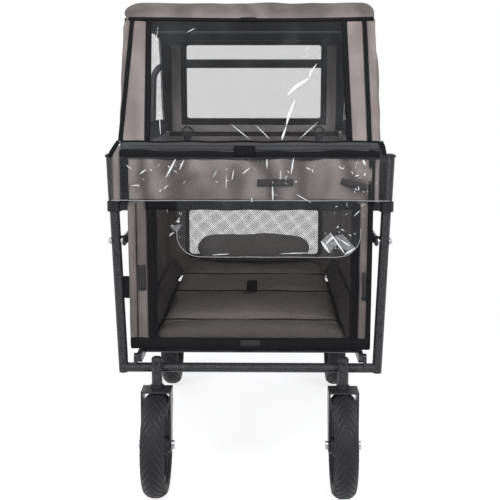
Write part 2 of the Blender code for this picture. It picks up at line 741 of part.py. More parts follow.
# A bolt with its head outside the tube, a spacer inside and a nut past the rail
def upper_bolt(name, y, rail_x, sign, mat):
    centre = upright_x(UPPER_RAIL_Z)
    outside = centre + TUBE_RADIUS + 0.0008
    inside = centre - TUBE_RADIUS - 0.0012
    rail_face = rail_x + UPPER_RAIL_WIDTH / 2 + FIT_GAP
    rail_back = rail_x - UPPER_RAIL_WIDTH / 2 - FIT_GAP
    steps = [
        (rail_back - 0.002, 0.0055),
        (rail_back, 0.0065),
        (rail_back, PIN_RADIUS),
        (rail_face, PIN_RADIUS),
        (rail_face, 0.0075),
        (inside, 0.0075),
        (inside, PIN_RADIUS),
        (outside, PIN_RADIUS),
        (outside, 0.007),
        (outside + 0.0045, 0.0055),
    ]
    return stepped_rod(name, steps, (0, y, UPPER_RAIL_Z), (sign, 0, 0), 10, mat)


# Folding rails


def rail_outline(start, end, z, height):
    half = height / 2
    outline = arc((start, z), half, 90, 270, 6)
    outline += arc((end, z), half, -90, 90, 6)
    return outline


def bar_between(name, start, end, z, height, x, width, sign, mat=None):
    low = sign * x - width / 2
    return side_prism(name, rail_outline(start, end, z, height), low, low + width, mat)


def pivot_hole(obj, name, x, y, z):
    low = (x - 0.02, y, z)
    high = (x + 0.02, y, z)
    cut(obj, rod(f"cut_{name}", low, high, BORE, 12))


# Half of the floor frame: two rails and two cross tubes, welded
def floor_frame(name, outer_y, x, mats, carries_pins):
    toward = 1 if outer_y < MIDDLE_Y else -1
    ends = sorted((outer_y, MIDDLE_Y))
    frame = bar_between(name, *ends, RAIL_Z, RAIL_HEIGHT, x, RAIL_WIDTH, -1, mats["tube"])
    other = bar_between(f"add_{name}_rail", *ends, RAIL_Z, RAIL_HEIGHT, x, RAIL_WIDTH, 1)
    for k, spot in enumerate((outer_y + toward * CROSS_TUBE_INSET, MIDDLE_Y - toward * CROSS_TUBE_INSET)):
        inner = x - RAIL_WIDTH * 0.3
        tube = rod(f"add_{name}_tube_{k}", (-inner, spot, RAIL_Z), (inner, spot, RAIL_Z), CROSS_TUBE_RADIUS)
        join(frame, tube)
    join(frame, other)
    for side, sign in SIDES:
        pivot_hole(frame, f"{name}_outer_{side}", sign * x, outer_y, RAIL_Z)
        if carries_pins:
            add_mid_pin(frame, name, side, sign, x, RAIL_Z, REAR_RAIL_X - RAIL_WIDTH / 2)
        else:
            pivot_hole(frame, f"{name}_mid_{side}", sign * x, MIDDLE_Y, RAIL_Z)
    return frame


def add_mid_pin(obj, name, side, sign, x, z, tip):
    low = (sign * tip, MIDDLE_Y, z)
    high = (sign * x, MIDDLE_Y, z)
    join(obj, rod(f"add_{name}_pin_{side}", low, high, PIN_RADIUS, 12))


def upper_rail(name, outer_y, x, side, sign, mats, carries_pin):
    ends = sorted((outer_y, MIDDLE_Y))
    rail = bar_between(name, *ends, UPPER_RAIL_Z, UPPER_RAIL_HEIGHT, x, UPPER_RAIL_WIDTH, sign, mats["tube"])
    pivot_hole(rail, f"{name}_outer", sign * x, outer_y, UPPER_RAIL_Z)
    if carries_pin:
        tip = UPPER_REAR_RAIL_X - UPPER_RAIL_WIDTH / 2
        add_mid_pin(rail, name, side, sign, x, UPPER_RAIL_Z, tip)
    else:
        pivot_hole(rail, f"{name}_mid", sign * x, MIDDLE_Y, UPPER_RAIL_Z)
    return rail


def floor_board(name, outer_y, x, mat):
    toward = 1 if outer_y < MIDDLE_Y else -1
    start = outer_y + toward * BOARD_END_INSET
    end = MIDDLE_Y - toward * BOARD_MID_INSET
    foot = RAIL_Z + RAIL_HEIGHT / 2 + FIT_GAP
    low = (-x, min(start, end), foot)
    high = (x, max(start, end), foot + BOARD_THICKNESS)
    return box(name, low, high, mat)


# Handle and brake


# A moulded cap over the rear post with the handle's pivot disc behind it
def handle_hub(name, sign, mat):
    x = sign * upright_x(UPRIGHT_TOP_Z)
    top = UPRIGHT_TOP_Z + 0.004
    body = rod(name, (x, REAR_Y, HUB_FOOT_Z), (x, REAR_Y, top), HUB_RADIUS, TUBE_SIDES, mat)
    disc_outer = sign * HUB_DISC_FACE
    disc_inner = disc_outer - sign * HANDLE_DISC_WIDTH
    low_x = min(disc_inner, disc_outer)
    high_x = max(disc_inner, disc_outer)
    middle = (HANDLE_PIVOT_Y, HANDLE_PIVOT_Z)
    outline = [(REAR_Y, HANDLE_PIVOT_Z + 0.012), (REAR_Y, HANDLE_PIVOT_Z - 0.012)]
    outline += arc(middle, HANDLE_DISC_RADIUS, -120, 120, 10)
    join(body, side_prism(f"add_{name}_disc", outline, low_x, high_x))
    pin_end = disc_outer + sign * HANDLE_DISC_WIDTH
    pivot = (disc_inner + sign * 0.002, HANDLE_PIVOT_Y, HANDLE_PIVOT_Z)
    join(body, rod(f"add_{name}_pin", pivot, (pin_end, HANDLE_PIVOT_Y, HANDLE_PIVOT_Z), AXLE_RADIUS, 12))
    add_bow_arm(body, name, sign, x)
    low = (sign * upright_x(HUB_FOOT_Z - 0.01), REAR_Y, HUB_FOOT_Z - 0.01)
    high = (sign * upright_x(UPRIGHT_TOP_Z), REAR_Y, UPRIGHT_TOP_Z + FIT_GAP)
    cut(body, rod(f"cut_{name}_post", low, high, SLEEVE_RADIUS + FIT_GAP, TUBE_SIDES))
    foot = (sign * BOW_X, REAR_Y, HUB_FOOT_Z + 0.008)
    cut(body, rod(f"cut_{name}_bow", foot, (sign * BOW_X, REAR_Y, top + 0.01), BOW_RADIUS + FIT_GAP, 12))
    return body


def add_bow_arm(body, name, sign, x):
    arm_end = sign * BOW_ARM_END
    low = (min(x, arm_end), REAR_Y - 0.007, HUB_FOOT_Z + 0.002)
    high = (max(x, arm_end), REAR_Y + 0.007, HUB_FOOT_Z + 0.020)
    join(body, box(f"add_{name}_arm", low, high))


def push_handle(mats):
    x = HANDLE_SIDE_X
    disc_x = HUB_DISC_FACE + FIT_GAP + HANDLE_DISC_WIDTH / 2
    foot = (HANDLE_PIVOT_Y + 0.004, HANDLE_PIVOT_Z + 0.010)
    top = (HANDLE_REACH + FRONT_Y, HANDLE_TOP_Z)
    route = rounded_route([(-x, *foot), (-x, *top), (x, *top), (x, *foot)], HANDLE_BEND)
    tube = bent_tube("add_handle_tube", route, HANDLE_RADIUS, 12, None)
    body = handle_disc("push_handle", -1, disc_x, mats["tube"])
    join(body, tube)
    join(body, handle_disc("add_handle_disc", 1, disc_x, None))
    for side, sign in SIDES:
        reach = x + 0.03
        low = (sign * (x - 0.03), HANDLE_PIVOT_Y, HANDLE_PIVOT_Z)
        high = (sign * reach, HANDLE_PIVOT_Y, HANDLE_PIVOT_Z)
        cut(body, rod(f"cut_handle_{side}", low, high, AXLE_RADIUS + FIT_GAP, 12))
    return body


def handle_disc(name, sign, x, mat):
    low = (sign * x - HANDLE_DISC_WIDTH / 2, HANDLE_PIVOT_Y, HANDLE_PIVOT_Z)
    high = (sign * x + HANDLE_DISC_WIDTH / 2, HANDLE_PIVOT_Y, HANDLE_PIVOT_Z)
    return rod(name, low, high, HANDLE_DISC_RADIUS, 16, mat)


def handle_grip(mat):
    half = GRIP_HALF
    bore = HANDLE_RADIUS + FIT_GAP
    profile = [
        (-half, bore),
        (-half, GRIP_RADIUS - 0.0015),
        (-half + 0.002, GRIP_RADIUS),
        (half - 0.002, GRIP_RADIUS),
        (half, GRIP_RADIUS - 0.0015),
        (half, bore),
    ]
    centre = (0, HANDLE_REACH + FRONT_Y, HANDLE_TOP_Z)
    return turned("handle_grip", profile, centre, (1, 0, 0), 16, mat)


# The shoe points from the bar at the wheel's centre and stops just off the tread
def shoe_outline():
    centre = Vector((BRAKE_Y, BRAKE_Z))
    toward = Vector((REAR_AXLE_Y, WHEEL_RADIUS)) - centre
    tip = centre + toward.normalized() * (toward.length - TREAD_REACH - BRAKE_GAP)
    across = Vector((-toward.y, toward.x)).normalized()
    root = across * BRAKE_BAR_RADIUS * 0.8
    heel = across * BRAKE_BAR_RADIUS * 1.2
    return [tuple(point) for point in (centre + root, tip + heel, tip - heel, centre - root)]


# One bar behind both rear wheels, with a shoe at each tyre and a pedal
def brake_bar(mats):
    reach = REAR_WHEEL_X + FORK_WIDTH / 2 + 0.003
    ends = ((-reach, BRAKE_Y, BRAKE_Z), (reach, BRAKE_Y, BRAKE_Z))
    bar = rod("brake_bar", *ends, BRAKE_BAR_RADIUS, 12, mats["tube"])
    outline = shoe_outline()
    for side, sign in SIDES:
        x = sign * REAR_WHEEL_X
        low = x - SHOE_HALF_WIDTH
        high = x + SHOE_HALF_WIDTH
        join(bar, side_prism(f"add_brake_shoe_{side}", outline, low, high))
    half = PEDAL_WIDTH / 2
    back = BRAKE_Y + PEDAL_LENGTH
    outline = [(BRAKE_Y - 0.004, BRAKE_Z + 0.003), (BRAKE_Y, BRAKE_Z - 0.004)]
    outline += [(back, BRAKE_Z - 0.012), (back + 0.002, BRAKE_Z - 0.008), (back, BRAKE_Z - 0.005)]
    pedal = side_prism("add_brake_pedal", outline, -half, half)
    join(bar, pedal)
    return bar


# Tub


# A panel with an opening, flat and closed, between two y values
def window_panel(name, outline, opening, low_y, high_y, mat):
    panel = front_prism(name, outline, low_y, high_y, mat)
    cutter = front_prism(f"cut_{name}", opening, low_y - 0.01, high_y + 0.01)
    cut(panel, cutter)
    return panel


def tub_front(mat):
    half = TUB_FRONT_HALF
    outline = rounded_rectangle(-half, TUB_FLOOR_Z, half, TUB_TOP_Z, 0.006, 2)
    opening = rounded_rectangle(-DOOR_HALF_WIDTH, DOOR_SILL_Z, DOOR_HALF_WIDTH, DOOR_HEAD_Z, DOOR_CORNER)
    return window_panel("tub_front_panel", outline, opening, PANEL_FRONT_Y, PANEL_BACK_Y, mat)


def tub_rear(mat):
    half = TUB_REAR_HALF
    outline = rounded_rectangle(-half, TUB_FLOOR_Z, half, TUB_TOP_Z, 0.006, 2)
    window = REAR_WINDOW_HALF
    opening = rounded_rectangle(-window, REAR_WINDOW_SILL_Z, window, REAR_WINDOW_HEAD_Z, REAR_WINDOW_CORNER)
    back = REAR_PANEL_Y + PANEL_THICKNESS
    return window_panel("tub_rear_panel", outline, opening, REAR_PANEL_Y, back, mat)


# A net of straight bars: a grid whose cells are inset and opened, then thickened
def net(name, half_width, foot, head, corner, y, columns, rows, mat):
    left = -half_width
    width = 2 * half_width
    low = foot
    height = head - foot
    bm = bmesh.new()
    grid = []
    for row in range(rows + 1):
        z = low + height * row / rows
        grid.append([bm.verts.new((left + width * column / columns, y, z)) for column in range(columns + 1)])
    cells = []
    for row in range(rows):
        for column in range(columns):
            low_left = grid[row][column]
            low_right = grid[row][column + 1]
            high_right = grid[row + 1][column + 1]
            high_left = grid[row + 1][column]
            cells.append(bm.faces.new((low_left, low_right, high_right, high_left)))
    bm.normal_update()
    bmesh.ops.inset_individual(bm, faces=cells, thickness=NET_BAR / 2, depth=0.0)
    bmesh.ops.delete(bm, geom=cells, context="FACES")
    obj = place(name, bm, mat, smooth=False)
    step = obj.modifiers.new("thickness", "SOLIDIFY")
    step.thickness = NET_THICKNESS
    step.offset = 0.0
    inner = half_width - FIT_GAP
    outline = rounded_rectangle(-inner, foot + FIT_GAP, inner, head - FIT_GAP, corner)
    return combine(obj, front_prism(f"cut_{name}", outline, y - 0.01, y + 0.01), "INTERSECT")


def tub_side(name, sign, mat):
    front = PANEL_BACK_Y + FLAP_GAP
    back = REAR_PANEL_Y - FLAP_GAP
    rise = TUB_TOP_Z - TUB_FLOOR_Z
    bm = bmesh.new()
    columns = 8
    rows = 4
    shell = {}
    for face_side in (0, 1):
        for column in range(columns + 1):
            share = column / columns
            outer = TUB_FRONT_HALF + (TUB_REAR_HALF - TUB_FRONT_HALF) * share
            for row in range(rows + 1):
                fall = math.sin(math.pi * share) * math.sin(math.pi * row / rows)
                draw = 0.004 * fall
                x = outer - draw - WALL_THICKNESS * face_side
                spot = (sign * x, front + (back - front) * share, TUB_FLOOR_Z + rise * row / rows)
                shell[face_side, column, row] = bm.verts.new(spot)
    skin_grid(bm, shell, columns, rows)
    return place(name, bm, mat)


# Two matching grids of points become one closed slab
def skin_grid(bm, shell, columns, rows):
    for column in range(columns):
        for row in range(rows):
            for face_side in (0, 1):
                quad = [(column, row), (column + 1, row), (column + 1, row + 1), (column, row + 1)]
                bm.faces.new([shell[face_side, c, r] for c, r in quad])
    edge = [(c, 0) for c in range(columns)] + [(columns, r) for r in range(rows)]
    edge += [(c, rows) for c in range(columns, 0, -1)] + [(0, r) for r in range(rows, 0, -1)]
    for here, there in zip(edge, edge[1:] + edge[:1]):
        bm.faces.new((shell[0, *here], shell[0, *there], shell[1, *there], shell[1, *here]))


# Mattress with a crown, drawn-in edges and sewn cross channels
def mattress_height(across, along):
    edge = max(0.0, 1 - abs(across) ** 6)
    length = REAR_PANEL_Y - PANEL_BACK_Y
    end = min(along, length - along) / 0.030
    end = math.sqrt(max(0.0, min(1.0, end)))
    height = MATTRESS_CROWN * edge * end - MATTRESS_CROWN
    for channel in CHANNELS:
        near = (along - channel) / CHANNEL_WIDTH
        height -= CHANNEL_DEPTH * math.exp(-near * near * 2) * min(1.0, edge + 0.3)
    return height


def mattress_stations():
    length = REAR_PANEL_Y - PANEL_BACK_Y - 2 * FLAP_GAP
    places = {0.0, 0.010, 0.030, length - 0.030, length - 0.010, length}
    for channel in CHANNELS:
        for shift in (-1.0, 0.0, 1.0):
            places.add(channel + shift * CHANNEL_WIDTH)
    for filler in (0.16, 0.22, 0.28, 0.42, 0.49, 0.63):
        places.add(filler * length / 0.7)
    kept = []
    for spot in sorted(places):
        if spot <= length and (not kept or spot - kept[-1] > 0.004):
            kept.append(spot)
    kept[-1] = length
    return kept


def mattress(mat):
    stations = mattress_stations()
    columns = len(stations) - 1
    rows = 8
    foot = MATTRESS_FOOT_Z
    start = PANEL_BACK_Y + FLAP_GAP
    bm = bmesh.new()
    shell = {}
    for column, along in enumerate(stations):
        for row in range(rows + 1):
            across = math.sin(math.pi * (row / rows - 0.5))
            pinch = 1.0
            for channel in CHANNELS:
                near = (along - channel) / CHANNEL_WIDTH
                pinch -= 0.02 * math.exp(-near * near * 2)
            x = MATTRESS_HALF * across * pinch
            rise = mattress_height(across, along + FLAP_GAP)
            tuck = 0.96 if row in (0, rows) else 1.0
            shell[0, column, row] = bm.verts.new((x, start + along, MATTRESS_TOP_Z + rise))
            shell[1, column, row] = bm.verts.new((x * tuck, start + along, foot))
    skin_grid(bm, shell, columns, rows)
    return place("mattress", bm, mat)


# Bolster pillow with full middle, drawn-in ends and a flat seat
def pillow(mat):
    stations = 10
    around = 12
    back = REAR_PANEL_Y - PILLOW_BACK
    middle_y = back - PILLOW_DEPTH / 2
    foot = MATTRESS_TOP_Z + FIT_GAP * 2
    bm = bmesh.new()
    rings = []
    for station in range(stations + 1):
        share = 2 * station / stations - 1
        full = max(0.0, 1 - abs(share) ** 5) ** 0.5
        full = max(full, 0.25)
        ring = []
        for step in range(around):
            angle = 2 * math.pi * step / around
            y = middle_y + math.cos(angle) * PILLOW_DEPTH / 2 * full
            z = foot + PILLOW_HEIGHT / 2 + math.sin(angle) * PILLOW_HEIGHT / 2 * full
            ring.append(bm.verts.new((PILLOW_HALF * share, y, z)))
        rings.append(ring)
    for here, there in zip(rings, rings[1:]):
        for step in range(around):
            after = (step + 1) % around
            bm.faces.new((here[step], there[step], there[after], here[after]))
    bm.faces.new(rings[0])
    bm.faces.new(rings[-1])
    return place("pillow", bm, mat)


# A loop of webbing that stands over the middle channel of the mattress
def pull_strap(mat):
    channel = CHANNELS[1]
    middle = PANEL_BACK_Y + FLAP_GAP + channel
    dip = mattress_height(0.0, channel + CHANNEL_WIDTH)
    foot = MATTRESS_TOP_Z + dip + FLAP_GAP
    outer = arc((middle, foot), CHANNEL_WIDTH, 0, 180, 8)
    inner = arc((middle, foot), CHANNEL_WIDTH - STRAP_THICKNESS, 180, 0, 8)
    half = STRAP_WIDTH / 2
    return side_prism("pull_strap", outer + inner, -half, half, mat)


# The gathered cloth of the front door, hung in three soft folds
def door_roll(mat):
    columns = 10
    folds = 9
    front_face = PANEL_FRONT_Y - FLAP_GAP
    height = ROLL_TOP_Z - ROLL_FOOT_Z
    bm = bmesh.new()
    shell = {}
    for column in range(columns + 1):
        share = column / columns
        sway = math.sin(share * math.pi * 3) * 0.0015
        for row in range(folds + 1):
            drop = row / folds
            lobe = 0.35 + 0.65 * abs(math.sin(math.pi * (drop * 3 + 0.12 * math.sin(share * 5))))
            depth = (ROLL_DEPTH - 0.002) * lobe + sway * math.sin(math.pi * drop)
            x = -ROLL_HALF + 2 * ROLL_HALF * share
            z = ROLL_FOOT_Z + height * drop
            shell[0, column, row] = bm.verts.new((x, front_face - max(0.002, depth), z))
            shell[1, column, row] = bm.verts.new((x, front_face, z))
    skin_grid(bm, shell, columns, folds)
    return place("door_roll", bm, mat)


# Clear rain flap: a wide band over the posts, then a narrower rounded tail
def flap_edges(z):
    if z >= FLAP_BAND_Z:
        return -FLAP_HALF, FLAP_HALF
    radius = FLAP_CORNER
    low = FLAP_FOOT_Z
    shrink = 0.0
    if z < low + radius:
        rise = low + radius - z
        shrink = radius - math.sqrt(max(0.0, radius * radius - rise * rise))
    return FLAP_LEFT + shrink, FLAP_RIGHT - shrink


def flap_depth(z):
    hang = PANEL_FRONT_Y - FLAP_GAP - ROLL_DEPTH - 0.004
    seat = FRONT_Y - HOOD_LAP - FLAP_GAP
    if z > HOOD_HEM_Z:
        return seat
    if z > ROLL_TOP_Z - 0.005:
        share = (HOOD_HEM_Z - z) / (HOOD_HEM_Z - ROLL_TOP_Z + 0.005)
        return seat + (hang - seat) * share
    return hang


def rain_flap(mat):
    columns = 12
    levels = [FLAP_TOP_Z, HOOD_HEM_Z, ROLL_TOP_Z - 0.005, FLAP_BAND_Z + 0.048, FLAP_BAND_Z]
    levels += [FLAP_BAND_Z - 0.0005, (FLAP_BAND_Z + FLAP_FOOT_Z + FLAP_CORNER) / 2]
    for share in (1.0, 0.58, 0.28, 0.08, 0.0):
        levels.append(FLAP_FOOT_Z + FLAP_CORNER * share)
    rows = len(levels) - 1
    bm = bmesh.new()
    shell = {}
    for row, z in enumerate(levels):
        left, right = flap_edges(z)
        for column in range(columns + 1):
            x = left + (right - left) * column / columns
            drop = min(1.0, max(0.0, (ROLL_TOP_Z - 0.010 - z) / 0.040))
            wave = FLAP_WAVE * drop * math.sin(x * 42.0)
            y = flap_depth(z) + wave
            shell[0, column, row] = bm.verts.new((x, y - FLAP_THICKNESS, z))
            shell[1, column, row] = bm.verts.new((x, y, z))
    skin_grid(bm, shell, columns, rows)
    return place("rain_flap", bm, mat)


# Hood


def hood_profile(inset=0.0):
    front = FRONT_Y - HOOD_LAP + inset
    back = REAR_Y + HOOD_LAP - inset
    lean_y = FRONT_Y + HOOD_SLOPE_BACK + inset
    roof = HOOD_ROOF_Z - inset
    points = [
        (front, HOOD_HEM_Z),
        (front, HOOD_WAIST_Z),
        (lean_y, HOOD_FRONT_TOP_Z - inset * 0.4),
        (lean_y + HOOD_BROW_RUN, roof - HOOD_BROW_DROP),
        (lean_y + HOOD_CREST_RUN, roof - HOOD_CREST_DROP),
        (MIDDLE_Y + HOOD_CREST_BACK, roof),
        (back - HOOD_TAIL_RUN, roof - HOOD_TAIL_DROP),
        (back - HOOD_EAVE_RUN, roof - HOOD_EAVE_DROP),
        (back - HOOD_EDGE_RUN, roof - HOOD_EDGE_DROP),
        (back, roof - HOOD_WALL_DROP),
        (back, HOOD_HEM_Z),
    ]
    return points


def hood_shell(mat):
    outline = hood_profile()
    bm = bmesh.new()
    near = [bm.verts.new((-HOOD_HALF, y, z)) for y, z in outline]
    far = [bm.verts.new((HOOD_HALF, y, z)) for y, z in outline]
    bm.faces.new(near)
    bm.faces.new(list(reversed(far)))
    roof_edges = []
    for k in range(len(outline) - 1):
        bm.faces.new((near[k], near[k + 1], far[k + 1], far[k]))
        if k >= 2 and k < len(outline) - 2:
            roof_edges.append(bm.edges.get((near[k], near[k + 1])))
            roof_edges.append(bm.edges.get((far[k], far[k + 1])))
    bmesh.ops.recalc_face_normals(bm, faces=bm.faces)
    bmesh.ops.bevel(bm, geom=roof_edges, offset=HOOD_CORNER, segments=3, profile=0.5, affect="EDGES")
    shell = place("hood_shell", bm, mat)
    if sum(face.normal.z * face.center.z for face in shell.data.polygons) < 0:
        shell.data.flip_normals()
    step = shell.modifiers.new("cloth", "SOLIDIFY")
    step.thickness = HOOD_SHEET
    step.offset = -1.0
    step.use_even_offset = True
    cut_hood_windows(shell)
    return shell


def slope_frame():
    low = Vector((FRONT_Y - HOOD_LAP, HOOD_WAIST_Z))
    high = Vector((FRONT_Y + HOOD_SLOPE_BACK, HOOD_FRONT_TOP_Z))
    along = (high - low).normalized()
    out = Vector((-along.y, along.x))
    return low, high, along, out


# A slab that lies on the sloping front, between two distances from it
def slope_slab(name, half, margin, near, far, mat=None):
    low, high, along, out = slope_frame()
    start = low + along * margin
    end = high - along * margin
    outline = [start + out * near, end + out * near, end + out * far, start + out * far]
    return side_prism(name, [tuple(point) for point in outline], -half, half, mat, smooth=False)


def cut_hood_windows(shell):
    reach = HOOD_SHEET * 8
    cut(shell, slope_slab("cut_hood_front", HOOD_WINDOW_HALF, HOOD_WINDOW_MARGIN, -reach, reach))
    back = REAR_Y + HOOD_LAP
    half = BACK_WINDOW_HALF
    sill = HOOD_HEM_Z + BACK_WINDOW_SILL
    window = rounded_rectangle(-half, sill, half, sill + BACK_WINDOW_HEIGHT, BACK_WINDOW_CORNER)
    cut(shell, front_prism("cut_hood_rear", window, back - reach, back + reach))
    front = FRONT_Y + SIDE_WINDOW_FRONT
    rear = REAR_Y - SIDE_WINDOW_REAR
    sill = HOOD_HEM_Z + SIDE_WINDOW_SILL
    head = sill + SIDE_WINDOW_HEIGHT
    outline = [(front, sill), (rear, sill), (rear, head), (front + SIDE_WINDOW_LEAN, head)]
    for side, sign in SIDES:
        middle = sign * HOOD_HALF
        cut(shell, side_prism(f"cut_hood_{side}", outline, middle - reach, middle + reach))


def hood_window(mat):
    half = HOOD_WINDOW_HALF + HOOD_WINDOW_LAP
    margin = HOOD_WINDOW_MARGIN - HOOD_WINDOW_LAP
    return slope_slab("hood_window", half, margin, FIT_GAP, FIT_GAP + FLAP_THICKNESS, mat)


# Sprung wire bow inside the sloping front edge of the hood
def front_bow(mat):
    low, high, along, out = slope_frame()
    inset = HOOD_SHEET + BOW_RADIUS + BOW_SLACK
    line = low - out * inset
    rise = (FRONT_Y - line.x) / along.x
    bend = (FRONT_Y, line.y + along.y * rise)
    top = high - out * inset - along * BOW_DROP
    foot = (FRONT_Y, SLEEVE_FOOT_Z - COLLAR_HEIGHT + 0.006)
    corners = [foot, bend, tuple(top)]
    route = [(-BOW_X, *corner) for corner in corners] + [(BOW_X, *corner) for corner in reversed(corners)]
    return bent_tube("hood_bow_front", rounded_route(route, BOW_BEND), BOW_RADIUS, 6, mat)


def rear_bow(mat):
    top = (REAR_Y - BOW_LEAN, HOOD_ROOF_Z - BOW_LEAN - HOOD_SHEET - BOW_RADIUS * 3)
    foot = (REAR_Y, HUB_FOOT_Z + 0.009)
    bend = (REAR_Y, UPRIGHT_TOP_Z + 0.030)
    corners = [foot, bend, top]
    route = [(-BOW_X, *corner) for corner in corners] + [(BOW_X, *corner) for corner in reversed(corners)]
    return bent_tube("hood_bow_rear", rounded_route(route, BOW_BEND), BOW_RADIUS, 6, mat)


def make_materials():
    return {
        "tube": material("tube", (0.055, 0.055, 0.06), 0.42, 0.55),
        "rubber": material("rubber", (0.018, 0.018, 0.019), 0.75),
        "rim": material("rim", (0.03, 0.03, 0.032), 0.45),
        "steel": material("steel", (0.62, 0.62, 0.64), 0.28, 1.0),
        "plastic": material("plastic", (0.02, 0.02, 0.022), 0.45),
        "cloth": material("cloth", (0.20, 0.165, 0.15), 0.9),
        "net": material("net", (0.02, 0.02, 0.022), 0.8),
        "mattress": material("mattress", (0.075, 0.066, 0.052), 0.92),
        "clear": material("clear", (0.85, 0.87, 0.88), 0.08, 0.0, 0.3),
        "board": material("board", (0.05, 0.045, 0.04), 0.7),
        "foam": material("foam", (0.02, 0.02, 0.02), 0.85),
    }


def make_frames(mats):
    for side, sign in SIDES:
        upright(f"front_upright_{side}", FRONT_Y, sign, mats["tube"])
        upright(f"rear_upright_{side}", REAR_Y, sign, mats["tube"])
        cap(f"front_cap_{side}", sign, mats["plastic"])
        collar(f"front_collar_{side}", sign, mats["plastic"])
        upper_bolt(f"front_bolt_{side}", FRONT_Y, UPPER_FRONT_RAIL_X, sign, mats["steel"])
        upper_bolt(f"rear_bolt_{side}", REAR_Y, UPPER_REAR_RAIL_X, sign, mats["steel"])
        handle_hub(f"handle_hub_{side}", sign, mats["plastic"])
        release_button(f"caster_button_{side}", sign * FRONT_WHEEL_X, mats["plastic"])
    front = crossbar("front_crossbar", FRONT_Y, FRONT_RAIL_X, mats)
    add_front_sockets(front)
    rear = crossbar("rear_crossbar", REAR_Y, REAR_RAIL_X, mats)
    add_rear_sockets(rear)


def make_running_gear(mats):
    for side, sign in SIDES:
        make_wheel("front", side, sign * FRONT_WHEEL_X, FRONT_AXLE_Y, mats)
        make_wheel("rear", side, sign * REAR_WHEEL_X, REAR_AXLE_Y, mats)
        fork(f"caster_fork_{side}", sign * FRONT_WHEEL_X, STEM_Y, STEM_TOP_Z, False, mats)
        stem_top = UPRIGHT_FOOT_Z - 0.004
        fork(f"rear_fork_{side}", sign * REAR_WHEEL_X, REAR_Y, stem_top, True, mats)
    brake_bar(mats)


def make_rails(mats):
    floor_frame("floor_frame_front", FRONT_Y, FRONT_RAIL_X, mats, True)
    floor_frame("floor_frame_rear", REAR_Y, REAR_RAIL_X, mats, False)
    floor_board("floor_board_front", FRONT_Y, FRONT_RAIL_X, mats["board"])
    floor_board("floor_board_rear", REAR_Y, REAR_RAIL_X, mats["board"])
    for side, sign in SIDES:
        upper_rail(f"upper_rail_front_{side}", FRONT_Y, UPPER_FRONT_RAIL_X, side, sign, mats, True)
        upper_rail(f"upper_rail_rear_{side}", REAR_Y, UPPER_REAR_RAIL_X, side, sign, mats, False)


def make_cloth(mats):
    tub_front(mats["cloth"])
    tub_rear(mats["cloth"])
    for side, sign in SIDES:
        tub_side(f"tub_side_{side}", sign, mats["cloth"])
    middle = PANEL_FRONT_Y + PANEL_THICKNESS / 2
    net("front_mesh", DOOR_HALF_WIDTH, DOOR_SILL_Z, DOOR_HEAD_Z, DOOR_CORNER, middle, 8, 5, mats["net"])
    middle = REAR_PANEL_Y + PANEL_THICKNESS / 2
    heights = (REAR_WINDOW_SILL_Z, REAR_WINDOW_HEAD_Z)
    net("rear_mesh", REAR_WINDOW_HALF, *heights, REAR_WINDOW_CORNER, middle, 7, 2, mats["net"])
    mattress(mats["mattress"])
    pillow(mats["mattress"])
    pull_strap(mats["net"])
    door_roll(mats["cloth"])
    rain_flap(mats["clear"])
    hood_shell(mats["cloth"])
    hood_window(mats["clear"])
    front_bow(mats["steel"])
    rear_bow(mats["steel"])


# An empty on a joint's axis carries the pieces that turn or slide there
def carry(name, point, pieces):
    pivot = bpy.data.objects.new(f"pivot_{name}", None)
    pivot.location = point
    bpy.context.scene.collection.objects.link(pivot)
    for piece in pieces:
        obj = bpy.data.objects[piece]
        obj.parent = pivot
        obj.location = -Vector(point)


def carry_running_gear():
    for side, sign in SIDES:
        front_x = sign * FRONT_WHEEL_X
        rear_x = sign * REAR_WHEEL_X
        caster = (f"caster_fork_{side}", f"front_axle_{side}")
        front_wheel = (f"front_tyre_{side}", f"front_rim_{side}")
        rear_wheel = (f"rear_tyre_{side}", f"rear_rim_{side}")
        carry(f"caster_{side}", (front_x, STEM_Y, STEM_TOP_Z), caster)
        carry(f"front_wheel_{side}", (front_x, FRONT_AXLE_Y, WHEEL_RADIUS), front_wheel)
        carry(f"rear_wheel_{side}", (rear_x, REAR_AXLE_Y, WHEEL_RADIUS), rear_wheel)
        carry(f"button_{side}", (front_x, STEM_Y, BUTTON_Z), (f"caster_button_{side}",))


def make_pivots():
    carry_running_gear()
    carry("brake", (0, BRAKE_Y, BRAKE_Z), ("brake_bar",))
    carry("handle", (0, HANDLE_PIVOT_Y, HANDLE_PIVOT_Z), ("push_handle", "handle_grip"))
    carry("floor_front", (0, FRONT_Y, RAIL_Z), ("floor_frame_front", "floor_board_front"))
    carry("floor_rear", (0, MIDDLE_Y, RAIL_Z), ("floor_frame_rear", "floor_board_rear"))
    front_rails = [f"upper_rail_front_{side}" for side, sign in SIDES]
    rear_rails = [f"upper_rail_rear_{side}" for side, sign in SIDES]
    carry("upper_front", (0, FRONT_Y, UPPER_RAIL_Z), front_rails)
    carry("upper_rear", (0, MIDDLE_Y, UPPER_RAIL_Z), rear_rails)


def main():
    clear_scene()
    mats = make_materials()
    make_frames(mats)
    make_running_gear(mats)
    make_rails(mats)
    push_handle(mats)
    handle_grip(mats["foam"])
    make_cloth(mats)
    make_pivots()


main()
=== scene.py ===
import math

import bmesh
import bpy
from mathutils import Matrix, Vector, noise


